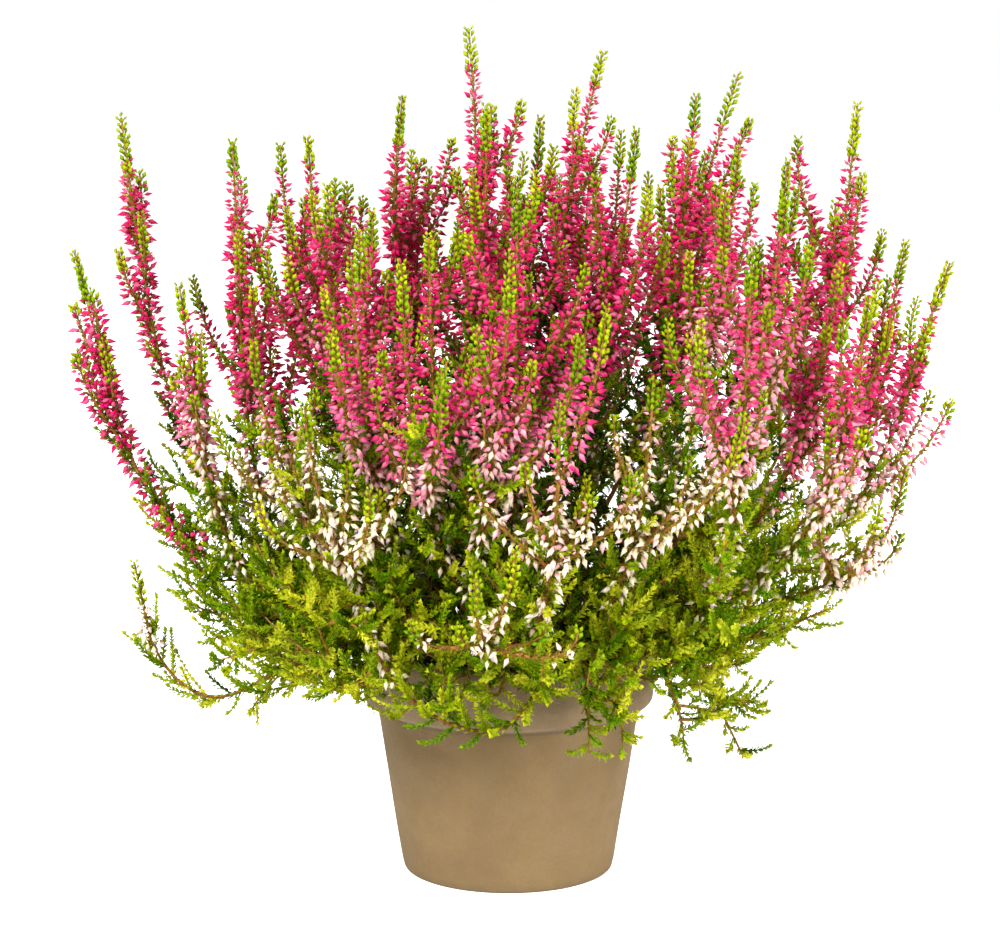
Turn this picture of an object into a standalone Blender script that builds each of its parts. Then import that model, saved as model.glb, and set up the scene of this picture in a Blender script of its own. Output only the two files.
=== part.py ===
"""Heather in bud, growing in a clay pot.

The pot is filled with peat. Nine woody stocks stand in holes in the peat and fork into slim
stems, which sweep outward over the rim and turn up. Each stem carries leafy side shoots and
ends in a bloom: one leading spike of pointed buds with a few shorter spikes beside it. Low
leafy branches without blooms skirt the rim.
Lengths in the tables are millimetres; everything in the scene is metres, with +Z up and the
origin at the middle of the pot's base.
"""
import math
import random

import bmesh
import bpy
from mathutils import Matrix, Vector

MM = 0.001
SEED = 19
PEAT_SEED = 11
TOUCH_GAP = 0.3

# Pot
POT_SIDES = 24
BASE_RADIUS = 43.0
BODY_TOP_RADIUS = 53.7
BODY_TOP_Z = 68.0
RIM_RADIUS = 60.0
RIM_WIDEST_Z = 79.0
RIM_TOP_Z = 94.0
RIM_TOP_RADIUS = 58.6
WALL = 4.2
FLOOR_THICKNESS = 5.0
DRAIN_RADIUS = 4.5
DRAIN_CIRCLE_RADIUS = 20.0
DRAIN_COUNT = 4

# Peat
PEAT_TOP_Z = 86.0
PEAT_CRUMB = 0.9
PEAT_RINGS = (0.74,)

# Woody stocks, each in a plain hole in the peat
STOCK_SIDES = 6
STOCK_RADIUS = 3.2
STOCK_TOP_RADIUS = 2.9
STOCK_CIRCLE_RADIUS = 27.0
STOCK_DEPTH = 18.0
STOCK_HEIGHT = 9.0
SECTORS = 8
CENTRE_REACH = 54.0

# Woody stems, which start near the top of their stock
ROOT_Z = PEAT_TOP_Z + 4.0
ROOT_OFFSET = 1.4
STEM_ROOT_RADIUS = 1.1
STEM_RADIUS = 1.3
STEM_STEP = 17.0
STEM_LEAF = (5.0, 7.0)
LEAF_POINT = 0.5
BARE_STEM = 56.0
BARE_FORK = 10.0
BARE_TIP = 6.0

# Low branches of the leafy skirt, which lean out over the rim, sag and turn up again. The
# shares spread their shapes evenly over their numbers
SKIRT_COUNT = 38
SKIRT_SHARES = (0.8813, 0.7767, 0.6844, 0.5316)
SKIRT_ROOT_SPREAD = 5.0
SKIRT_OVER_RIM = 65.0
SKIRT_OVER_RIM_Z = (105.0, 119.0)
SKIRT_REACH = (82.0, 98.0)
SKIRT_EXTRA_WIDTH = 44.0
SKIRT_LOW_Z = (84.0, 112.0)
SKIRT_RISE = (2.0, 44.0)
SKIRT_ASIDE = 22.0
SKIRT_RADIUS = 1.1
SKIRT_STEP = 16.0
SKIRT_LEAF = (7.5, 6.0)
SKIRT_GIRTH = 7.0
BARE_SKIRT = 42.0

# The stems' sweep, as shares of how far they reach outward and rise
SWEEP_OUT = 0.62
SWEEP_OUT_IN_MIDDLE = 0.35
SWEEP_RISE = 0.27
LEAST_SWEEP_RISE = 17.0
UPRIGHT_END = 0.52

# Stems with far tips run out lower before they turn up, the more the farther out the tip is
FAR_REACH = (120.0, 165.0)
FAR_SWEEP_OUT = 0.30
FAR_SWEEP_RISE = -0.12
FAR_LEAST_RISE = 20.0
FAR_FORK_OUT = 0.20

# Forks: how far up the earlier stem, and how near its tip has to be
FORK_DISTANCE = (30.0, 46.0)
FORK_WITHIN = 62.0
FORK_AHEAD = 0.18
FORK_OUT = 0.38
GOLDEN_SHARE = 0.618034

# Spikes of buds. A bud or leaf is (reach, rise) of its point from the stem
TIP_RADIUS = 1.0
SIDE_ROOT_RADIUS = 0.5
SIDE_AHEAD = 0.22
SIDE_UPRIGHT_END = 0.5
SIDE_SPREAD = 1.9
SIDE_RISE = 34.0
SIDE_FORK_STEP = 4
LEAST_SIDE = 30.0
BUD_STEP = 11.8
BUD_REACH = 6.0
BUD_SHORTENING = 0.22
BUD_SCATTER = (0.92, 1.08)
BUD_RISE = (2.0, 5.0)
HANGING_RISE = -2.0
BUD_GIRTH = 7.0
BUD_CLEARANCE = 5.5
BARE_LEADER = 9.0
BARE_SIDE = 14.0
BARE_DROOPING = 5.0
GREEN_TIP = 13.0
GREEN_STEP = 5.0
GREEN_LEAF = (2.2, 3.4)

# Leafy side shoots
SHOOT_LENGTH = (17.0, 25.0)
SHOOT_RINGS = ((0.0, 0.55), (0.36, 1.0), (0.68, 0.85))
SHOOT_LEAVES = ((3.3, 2.6), (3.0, 2.8))
SHOOT_GIRTH = 4.3
SHOOT_SPACING = 11.0
SHOOT_SCATTER = 4.0
SHOOT_APART = 3.4
SHOOT_START = 12.0
SHOOT_AWAY = 0.35
SHOOT_AHEAD = 0.55
SHOOT_TURN_UP = 0.26
SHOOT_TRIES = 6
SHOOT_COUNT = 16

# Blooms that stand up: length of the bloom in mm, lean of its top in degrees away from the
# middle, then the places of its tips. The first tip is the leading spike's.
BLOOMS = (
    (140, 7, (-157, 20, 307), (-148, 6, 268)),
    (110, 14, (-171, -20, 255), (-160, -26, 222)),
    (92, 8, (-127, -45, 244), (-118, -58, 227)),
    (122, 2, (-110, 0, 298), (-106, -20, 263)),
    (112, 3, (-95, 50, 295), (-106, 34, 259)),
    (116, 4, (-81, 12, 299), (-88, -8, 272)),
    (106, 3, (-71, -25, 282), (-75, -42, 279)),
    (104, 5, (-58, -95, 258), (-64, -112, 233)),
    (100, 3, (-57, -55, 266), (-53, -32, 272)),
    (122, -8, (-43, 25, 315), (-56, 4, 262)),
    (100, 2, (-41, 70, 292), (-33, 52, 285)),
    (104, 4, (-39, -115, 258), (-24, -138, 222)),
    (104, 3, (-30, -78, 265), (-20, -60, 265)),
    (134, 6, (-16, 5, 342), (-6, 18, 302)),
    (112, 3, (-9, -22, 312), (-14, -36, 288)),
    (118, 0, (0, -115, 262), (-12, -126, 236)),
    (108, 4, (3, -75, 282), (10, -54, 288)),
    (104, 2, (0, 50, 294), (-14, 42, 276)),
    (112, 4, (13, 15, 307), (18, -4, 296)),
    (126, 15, (38, 15, 333), (28, 30, 318)),
    (108, 6, (50, -20, 303), (53, -52, 280)),
    (104, 5, (47, 46, 301), (36, 58, 286)),
    (114, 5, (74, -10, 316), (66, 10, 293)),
    (124, 20, (95, 40, 324), (82, 34, 292)),
    (110, 4, (88, -40, 296), (82, -60, 282)),
    (104, 5, (112, 5, 290), (113, -20, 280)),
    (112, 6, (103, -75, 280), (110, -94, 262)),
    (92, 8, (128, 50, 264), (136, 36, 252)),
    (116, 4, (140, 10, 312), (134, 26, 272)),
    (96, 7, (128, -40, 252), (141, -56, 247)),
    (98, 11, (163, 25, 256), (172, 12, 226)),
    (116, 19, (174, -20, 251), (164, -34, 228)),
    (100, 7, (134, -82, 243), (122, -104, 237)),
    (114, 5, (88, -110, 263), (68, -128, 238)),
    (74, 6, (18, -140, 210), (34, -136, 244)),
    (82, 6, (52, -120, 217), (84, -132, 206)),
    (50, 6, (-12, -146, 150), (2, -140, 158)),
    (84, 5, (-96, -78, 226), (-110, -84, 200)),
    (78, 6, (-74, -118, 207), (-50, -134, 178)),
    (66, 8, (153, -55, 176), (140, -78, 164)),
    (100, 8, (-118, 84, 262), (-134, 66, 238)),
    (104, 7, (-72, 108, 268), (-88, 92, 250)),
    (106, 6, (-20, 118, 276), (-34, 136, 246)),
    (110, 6, (36, 100, 290), (22, 86, 280)),
    (104, 8, (88, 100, 278), (74, 84, 280)),
    (94, 10, (134, 88, 256), (146, 66, 242)),
    (86, 12, (44, 150, 236), (66, 142, 228)),
)

# Sprays that droop over the rim before they turn up into a small bloom: the bloom's length,
# then the route from the rim to the tip
DROOPING_BLOOMS = (
    (38, (-66, -9, 105), (-95, -12, 83), (-121, -15, 74), (-141, -18, 92), (-150, -20, 131)),
    (54, (14, -62, 103), (10, -78, 90), (-5, -83, 77), (-28, -85, 83), (-48, -85, 104),
     (-62, -80, 144)),
)

# Leafy twigs that hang over the rim and bear no buds, each from the rim to its tip
TWIGS = (
    ((60, -3, 105), (75, -6, 88), (86, -9, 68), (95, -14, 50)),
    ((50, -42, 104), (62, -46, 88), (68, -42, 72), (70, -36, 58)),
    ((34, -58, 104), (42, -69, 88), (44, -72, 68)),
    ((-58, -28, 104), (-78, -34, 87), (-98, -32, 80)),
    ((-46, 46, 105), (-60, 60, 88), (-68, 66, 68)),
    ((10, 64, 105), (16, 78, 88), (20, 84, 68)),
    ((50, 44, 105), (64, 56, 90), (72, 64, 74)),
)

# A bloom's colour goes by the height of its middle: white with pink ends low down, then pink,
# then crimson
WHITE_BELOW_Z = 168.0
PINK_BELOW_Z = 218.0


def remove_everything():
    for old in list(bpy.data.objects):
        bpy.data.objects.remove(old, do_unlink=True)


def principled(name, colour, roughness):
    material = bpy.data.materials.new(name)
    material.use_nodes = True
    shader = material.node_tree.nodes["Principled BSDF"]
    shader.inputs["Base Color"].default_value = (*colour, 1.0)
    shader.inputs["Roughness"].default_value = roughness
    shader.inputs["Metallic"].default_value = 0.0
    return material


def object_from_bmesh(name, shape, material=None):
    """Turns a bmesh drawn in millimetres into an object in metres."""
    bmesh.ops.recalc_face_normals(shape, faces=shape.faces)
    bmesh.ops.transform(shape, matrix=Matrix.Scale(MM, 4), verts=shape.verts)
    mesh = bpy.data.meshes.new(name)
    shape.to_mesh(mesh)
    shape.free()
    made = bpy.data.objects.new(name, mesh)
    if material:
        mesh.materials.append(material)
    bpy.context.scene.collection.objects.link(made)
    return made


def apply_modifiers(target):
    """Keeps the modified shape and drops the modifiers."""
    depsgraph = bpy.context.evaluated_depsgraph_get()
    mesh = bpy.data.meshes.new_from_object(target.evaluated_get(depsgraph))
    mesh.name = target.name
    target.modifiers.clear()
    target.data = mesh


def join_repeats(target, repeats):
    """Unites a piece with everything that grows from it, in one Boolean on a collection."""
    if not repeats:
        return
    bunch = bpy.data.collections.new(target.name + "_repeats")
    bpy.context.scene.collection.children.link(bunch)
    for repeat in repeats:
        bpy.context.scene.collection.objects.unlink(repeat)
        bunch.objects.link(repeat)
    union = target.modifiers.new("union", "BOOLEAN")
    union.operation = "UNION"
    union.operand_type = "COLLECTION"
    union.collection = bunch
    union.solver = "MANIFOLD"
    apply_modifiers(target)
    for repeat in list(bunch.objects):
        bpy.data.objects.remove(repeat, do_unlink=True)
    bpy.data.collections.remove(bunch)


# Routes
def smooth_route(points, step=3.0):
    """A smooth curve through hand-placed points, as closely spaced places along it."""
    ends = [points[0] * 2 - points[1], *points, points[-1] * 2 - points[-2]]
    route = []
    for before, start, stop, after in zip(ends, ends[1:], ends[2:], ends[3:]):
        count = max(2, round((stop - start).length / step))
        for index in range(count):
            t = index / count
            route.append(0.5 * (2 * start + (stop - before) * t
                                + (2 * before - 5 * start + 4 * stop - after) * t ** 2
                                + (3 * start - before - 3 * stop + after) * t ** 3))
    route.append(points[-1].copy())
    return route


def bent_route(start, pull, push, end, count=48):
    """A cubic Bezier curve."""
    route = []
    for index in range(count + 1):
        t = index / count
        route.append(start * (1 - t) ** 3 + pull * (3 * t * (1 - t) ** 2)
                     + push * (3 * t ** 2 * (1 - t)) + end * t ** 3)
    return route


def route_length(route):
    return sum((b - a).length for a, b in zip(route, route[1:]))


def place_on(route, distance):
    """The place and the heading at a distance along a route."""
    for a, b in zip(route, route[1:]):
        piece = (b - a).length
        if distance <= piece or b is route[-1]:
            return a + (b - a) * (distance / piece), (b - a).normalized()
        distance -= piece


def part_of(route, start, stop, step=3.0):
    """A stretch of a route between two distances along it."""
    count = max(2, round((stop - start) / step))
    return [place_on(route, start + (stop - start) * index / count)[0] for index in range(count + 1)]


# Drawing stems, spikes and shoots
def always(place):
    return True


def three_sided_stem(route, rings, flares, turn, pointed=True, is_free=always):
    """A slim stem of three-cornered rings, each turned half a side from the last.

    rings holds (distance along the route, radius). flares holds, for each stretch between two
    rings, either nothing or (reach, rise): the stretch's three faces that point up, or down
    where rise is negative, are each drawn out to a point, as a bud or a leaf, wherever is_free
    says that the point's place is free.
    """
    shape = bmesh.new()
    loops = ring_loops(shape, route, rings, turn)
    shape.faces.new(loops[0][::-1])
    for low, high, flare in zip(loops, loops[1:], flares):
        for corner in range(3):
            draw_out_side(shape, low, high, corner, flare, is_free)
    if pointed:
        close_to_point(shape, loops[-1], route[-1])
    else:
        shape.faces.new(loops[-1])
    return shape


def ring_loops(shape, route, rings, turn):
    """The stem's three-cornered rings, square to the route."""
    loops = []
    side = None
    for index, (distance, radius) in enumerate(rings):
        place, heading = place_on(route, distance)
        side = heading.orthogonal() if side is None else side - heading * side.dot(heading)
        side.normalize()
        across = heading.cross(side)
        loop = []
        for corner in range(3):
            angle = turn + math.pi / 3 * index + math.tau / 3 * corner
            outward = side * math.cos(angle) + across * math.sin(angle)
            loop.append(shape.verts.new(place + outward * radius))
        loops.append(loop)
    return loops


def middle_of(verts):
    return sum((vert.co for vert in verts), Vector()) / len(verts)


def draw_out_side(shape, low, high, corner, flare, is_free):
    """One side of a stretch: two triangles, one of them drawn out to a point where it flares."""
    upright = (low[corner], low[(corner + 1) % 3], high[corner])
    hanging = (high[corner], low[(corner + 1) % 3], high[(corner + 1) % 3])
    if flare is None:
        shape.faces.new(upright)
        shape.faces.new(hanging)
        return
    reach, rise = flare
    drawn, plain = (upright, hanging) if rise >= 0 else (hanging, upright)
    lone = high[corner] if rise >= 0 else low[(corner + 1) % 3]
    heading = (middle_of(high) - middle_of(low)).normalized()
    outward = lone.co - middle_of(low + high)
    outward -= heading * outward.dot(heading)
    place = middle_of(drawn) + outward.normalized() * reach + heading * rise
    shape.faces.new(plain)
    if is_free(place):
        close_to_point(shape, drawn, place)
    else:
        shape.faces.new(drawn)


def close_to_point(shape, loop, place):
    """Faces from each edge of a loop to a new point."""
    point = shape.verts.new(place)
    for a, b in zip(loop, loop[1:] + loop[:1]):
        shape.faces.new((a, b, point))


def spike(name, route, root_radius, bare, draw, is_free=always):
    """A spike of buds up a stem, ended by a short green tip of scale leaves."""
    rings = [(0.0, root_radius)]
    flares = []
    buds_end = route_length(route) - GREEN_TIP
    steps = max(2, round(buds_end / BUD_STEP))
    for step in range(1, steps + 1):
        share = step / steps
        distance = buds_end * share
        rings.append((distance, STEM_RADIUS + (TIP_RADIUS - STEM_RADIUS) * share))
        hangs = place_on(route, distance)[0].z < WHITE_BELOW_Z
        rise = HANGING_RISE if hangs else BUD_RISE[0] + (BUD_RISE[1] - BUD_RISE[0]) * share
        reach = BUD_REACH * (1.0 - BUD_SHORTENING * share ** 3) * draw.uniform(*BUD_SCATTER)
        flares.append(None if distance < bare else (reach, rise))
    rings.append((buds_end + GREEN_STEP, TIP_RADIUS))
    flares.append(GREEN_LEAF)
    shape = three_sided_stem(route, rings, flares, draw.uniform(0, math.tau), True, is_free)
    return object_from_bmesh(name, shape)


def leafy_shoot(name, route, draw):
    length = route_length(route)
    rings = [(length * share, radius) for share, radius in SHOOT_RINGS]
    shape = three_sided_stem(route, rings, SHOOT_LEAVES, draw.uniform(0, math.tau))
    return object_from_bmesh(name, shape)


# Keeping everything clear of everything else
class Crowd:
    """Where each stem, spike and shoot lies, and how thick it is."""

    def __init__(self):
        self.places = []

    def add(self, owner, route, girth):
        self.places.extend((owner, place, girth) for place in route)

    def is_clear(self, owner, route, girth, spacing=0.0):
        """Whether a route clears the others', and keeps its spacing from its own owner's."""
        for other, place, other_girth in self.places:
            need = girth + other_girth + TOUCH_GAP if other != owner else spacing
            if need and any((place - point).length_squared < need * need for point in route):
                return False
        return True


def clears_pot(route, girth):
    """Whether a route stays above the peat and off the rim, with a millimetre or so to spare."""
    for place in route:
        out = math.hypot(place.x, place.y)
        if out < RIM_RADIUS + girth + 1 and place.z < RIM_TOP_Z + girth + 1:
            if out > RIM_RADIUS - 2 * WALL - girth or place.z < PEAT_TOP_Z + girth + 1.5:
                return False
    return True


# Pot
def pot_radius(z):
    """Outside radius of the straight body at a height."""
    return BASE_RADIUS + (BODY_TOP_RADIUS - BASE_RADIUS) * z / BODY_TOP_Z


def pot_profile():
    """Half section from the middle of the base, round the rolled rim, to the inside floor."""
    outside = [(0.0, 0.0), (BASE_RADIUS - 1.4, 0.0), (BASE_RADIUS, 1.6), (BODY_TOP_RADIUS, BODY_TOP_Z)]
    rim = [(BODY_TOP_RADIUS + 2.2, BODY_TOP_Z + 1.2), (RIM_RADIUS - 1.2, BODY_TOP_Z + 5.0),
           (RIM_RADIUS, RIM_WIDEST_Z), (RIM_TOP_RADIUS, RIM_TOP_Z - 1.8),
           (RIM_TOP_RADIUS - 1.6, RIM_TOP_Z)]
    inside = [(RIM_TOP_RADIUS - WALL + 1.0, RIM_TOP_Z - 0.4), (RIM_TOP_RADIUS - WALL, RIM_TOP_Z - 2.0),
              (BODY_TOP_RADIUS - WALL, BODY_TOP_Z), (pot_radius(FLOOR_THICKNESS) - WALL, FLOOR_THICKNESS),
              (0.0, FLOOR_THICKNESS)]
    return outside + rim + inside


def turned(profile, sides):
    """A solid turned from a half section that starts and ends on the axis."""
    shape = bmesh.new()
    loops = []
    for radius, z in profile:
        if radius == 0:
            loops.append([shape.verts.new((0, 0, z))])
            continue
        loops.append([shape.verts.new((radius * math.cos(math.tau * k / sides),
                                       radius * math.sin(math.tau * k / sides), z)) for k in range(sides)])
    for low, high in zip(loops, loops[1:]):
        for k in range(sides):
            n = (k + 1) % sides
            if len(low) == 1:
                shape.faces.new((low[0], high[n], high[k]))
            elif len(high) == 1:
                shape.faces.new((low[k], low[n], high[0]))
            else:
                shape.faces.new((low[k], low[n], high[n], high[k]))
    return shape


def upright_cutter(name, x, y, low, high, radius, sides):
    """A plain upright prism that a Boolean cuts away."""
    shape = bmesh.new()
    bmesh.ops.create_cone(shape, cap_ends=True, segments=sides, radius1=radius, radius2=radius,
                          depth=high - low, matrix=Matrix.Translation((x, y, (low + high) / 2)))
    return object_from_bmesh(name, shape)


def cut_holes(target, cutters):
    for cutter in cutters:
        cut = target.modifiers.new("hole", "BOOLEAN")
        cut.operation = "DIFFERENCE"
        cut.object = cutter
        cut.solver = "EXACT"
    apply_modifiers(target)
    for cutter in cutters:
        bpy.data.objects.remove(cutter, do_unlink=True)


def make_pot():
    clay = principled("clay", (0.35, 0.23, 0.115), 0.85)
    pot = object_from_bmesh("pot", turned(pot_profile(), POT_SIDES), clay)
    drains = []
    for index in range(DRAIN_COUNT):
        angle = math.tau * (index + 0.5) / DRAIN_COUNT
        drains.append(upright_cutter(f"drain_{index}", DRAIN_CIRCLE_RADIUS * math.cos(angle),
                                     DRAIN_CIRCLE_RADIUS * math.sin(angle), -2.0, FLOOR_THICKNESS + 2.0,
                                     DRAIN_RADIUS, 8))
    cut_holes(pot, drains)
    pot.data.shade_smooth()
    pot.data.set_sharp_from_angle(angle=math.radians(30))
    return pot


# Peat
def inner_radius(z):
    """Radius of the pot's inside wall at a height."""
    low_radius = pot_radius(FLOOR_THICKNESS) - WALL
    if z <= BODY_TOP_Z:
        share = (z - FLOOR_THICKNESS) / (BODY_TOP_Z - FLOOR_THICKNESS)
        return low_radius + (BODY_TOP_RADIUS - WALL - low_radius) * share
    share = (z - BODY_TOP_Z) / (RIM_TOP_Z - 2.0 - BODY_TOP_Z)
    return BODY_TOP_RADIUS - WALL + (RIM_TOP_RADIUS - BODY_TOP_RADIUS) * share


def stock_places():
    """The middle stock, then one for each sector round it."""
    places = [Vector((0, 0, 0))]
    for index in range(SECTORS):
        angle = math.tau * index / SECTORS
        places.append(Vector((math.cos(angle), math.sin(angle), 0)) * STOCK_CIRCLE_RADIUS)
    return places


def make_peat(draw):
    peat_colour = principled("peat", (0.035, 0.02, 0.012), 0.95)
    sides = POT_SIDES
    gap = TOUCH_GAP / math.cos(math.pi / sides)
    bottom = FLOOR_THICKNESS + TOUCH_GAP
    profile = [(0.0, bottom), (inner_radius(bottom) - gap, bottom),
               (inner_radius(BODY_TOP_Z) - gap, BODY_TOP_Z), (inner_radius(PEAT_TOP_Z) - gap, PEAT_TOP_Z)]
    edge = inner_radius(PEAT_TOP_Z) - gap
    profile += [(edge * share, PEAT_TOP_Z + 0.8) for share in reversed(PEAT_RINGS)]
    profile += [(0.0, PEAT_TOP_Z + 1.0)]
    shape = turned(profile, sides)
    for vert in shape.verts:
        if vert.co.z > PEAT_TOP_Z + 0.5:
            vert.co.z += draw.uniform(-PEAT_CRUMB, PEAT_CRUMB)
    peat = object_from_bmesh("peat", shape, peat_colour)
    holes = []
    for index, place in enumerate(stock_places()):
        holes.append(upright_cutter(f"hole_{index}", place.x, place.y, PEAT_TOP_Z - STOCK_DEPTH - TOUCH_GAP,
                                    PEAT_TOP_Z + 6.0, STOCK_RADIUS + TOUCH_GAP + 0.1, STOCK_SIDES))
    cut_holes(peat, holes)
    return peat


# Growth
def sector_of(place):
    """0 for the middle stock, or the number of the sector that a place lies over."""
    if math.hypot(place.x, place.y) < CENTRE_REACH:
        return 0
    turn = math.atan2(place.y, place.x) / (math.tau / SECTORS)
    return 1 + round(turn) % SECTORS


def leaning(tip, lean):
    """The heading of a spike's top: up, but leaning away from the middle by some degrees."""
    away = Vector((tip.x, tip.y, 0)).normalized()
    return away * math.sin(math.radians(lean)) + Vector((0, 0, math.cos(math.radians(lean))))


def far_share(tip):
    """0 for tips up to the nearer far reach, 1 for tips at the farther one or beyond."""
    near, far = FAR_REACH
    return min(1.0, max(0.0, (math.hypot(tip.x, tip.y) - near) / (far - near)))


def standing_route(tip, lean):
    """From its stock a stem sweeps outward over the rim, then turns up to its tip."""
    sector = sector_of(tip)
    stock = stock_places()[sector]
    out = Vector((tip.x - stock.x, tip.y - stock.y, 0))
    start = Vector((stock.x, stock.y, ROOT_Z)) + out * (ROOT_OFFSET / max(out.length, ROOT_OFFSET))
    rise = tip.z - start.z
    far = far_share(tip)
    sweep = SWEEP_OUT + FAR_SWEEP_OUT * far if sector else SWEEP_OUT_IN_MIDDLE
    lift = max(LEAST_SWEEP_RISE + FAR_LEAST_RISE * far, rise * (SWEEP_RISE + FAR_SWEEP_RISE * far))
    pull = start + out * sweep + Vector((0, 0, lift))
    return bent_route(start, pull, tip - leaning(tip, lean) * rise * UPRIGHT_END, tip)


def forked_route(parent, fork, tip, lean):
    """A stem that leaves an earlier one at a fork and follows the same sweep to its own tip."""
    start, heading = place_on(parent, fork)
    out = Vector((tip.x - start.x, tip.y - start.y, 0))
    aside = FORK_OUT + FAR_FORK_OUT * far_share(tip)
    pull = start + heading * (tip - start).length * FORK_AHEAD + out * aside
    return bent_route(start, pull, tip - leaning(tip, lean) * (tip.z - start.z) * UPRIGHT_END, tip)


def drooping_route(points):
    """From its stock over the rim, then down through hand-placed points."""
    stock = stock_places()[sector_of(points[0])]
    return smooth_route([stock + Vector((0, 0, ROOT_Z)), *points])


def skirt_route(number):
    """A low branch, longer towards the plant's two wide sides, and the sector of its stock."""
    reach_share, low_share, rise_share, aside_share = (number * share % 1 for share in SKIRT_SHARES)
    turn = number * math.tau * GOLDEN_SHARE
    out = Vector((math.cos(turn), math.sin(turn), 0))
    aside = Vector((-out.y, out.x, 0)) * (2 * aside_share - 1)
    reach = SKIRT_REACH[0] + (SKIRT_REACH[1] - SKIRT_REACH[0]) * rise_share
    reach += SKIRT_EXTRA_WIDTH * abs(out.x) ** 1.5 * reach_share
    low = SKIRT_LOW_Z[0] + (SKIRT_LOW_Z[1] - SKIRT_LOW_Z[0]) * low_share
    rise = SKIRT_RISE[0] + (SKIRT_RISE[1] - SKIRT_RISE[0]) * rise_share
    over_z = SKIRT_OVER_RIM_Z[0] + (SKIRT_OVER_RIM_Z[1] - SKIRT_OVER_RIM_Z[0]) * aside_share
    over = out * SKIRT_OVER_RIM + Vector((0, 0, over_z))
    sector = sector_of(over)
    root_z = ROOT_Z + SKIRT_ROOT_SPREAD * (aside_share - 0.5)
    start = stock_places()[sector] + out * ROOT_OFFSET + Vector((0, 0, root_z))
    middle = out * (SKIRT_OVER_RIM + reach) / 2 + aside * SKIRT_ASIDE / 2 + Vector((0, 0, low))
    end = out * reach + aside * SKIRT_ASIDE + Vector((0, 0, low + rise))
    return sector, smooth_route([start, over, middle, end])


def side_route(leader, fork, tip, lean):
    """A side spike leaves the leading stem at a fork and turns up beside it."""
    start, heading = place_on(leader, fork)
    reach = (tip - start).length
    push = tip - leaning(tip, lean) * reach * SIDE_UPRIGHT_END
    return bent_route(start, start + heading * reach * SIDE_AHEAD, push, tip, 24)


def side_fork(leader, joint, tip):
    """How far along the leader a side spike forks off, low enough to reach its tip."""
    fork = joint + SIDE_FORK_STEP
    for distance in range(int(fork), int(route_length(leader) - LEAST_SIDE), SIDE_FORK_STEP):
        place, _ = place_on(leader, distance)
        spread = math.hypot(tip.x - place.x, tip.y - place.y)
        if tip.z - place.z <= max(SIDE_RISE, spread * SIDE_SPREAD):
            break
        fork = distance
    return fork


def fork_on_stem(number):
    """How far up the earlier stem a bloom's stem forks off, spread evenly over the blooms."""
    low, high = FORK_DISTANCE
    return low + (high - low) * (number * GOLDEN_SHARE % 1)


def bloom_colour(z):
    if z < WHITE_BELOW_Z:
        return principled("white_buds", (0.75, 0.55, 0.52), 0.6)
    if z < PINK_BELOW_Z:
        return principled("pink_buds", (0.62, 0.13, 0.27), 0.6)
    return principled("crimson_buds", (0.48, 0.02, 0.13), 0.6)


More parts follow.
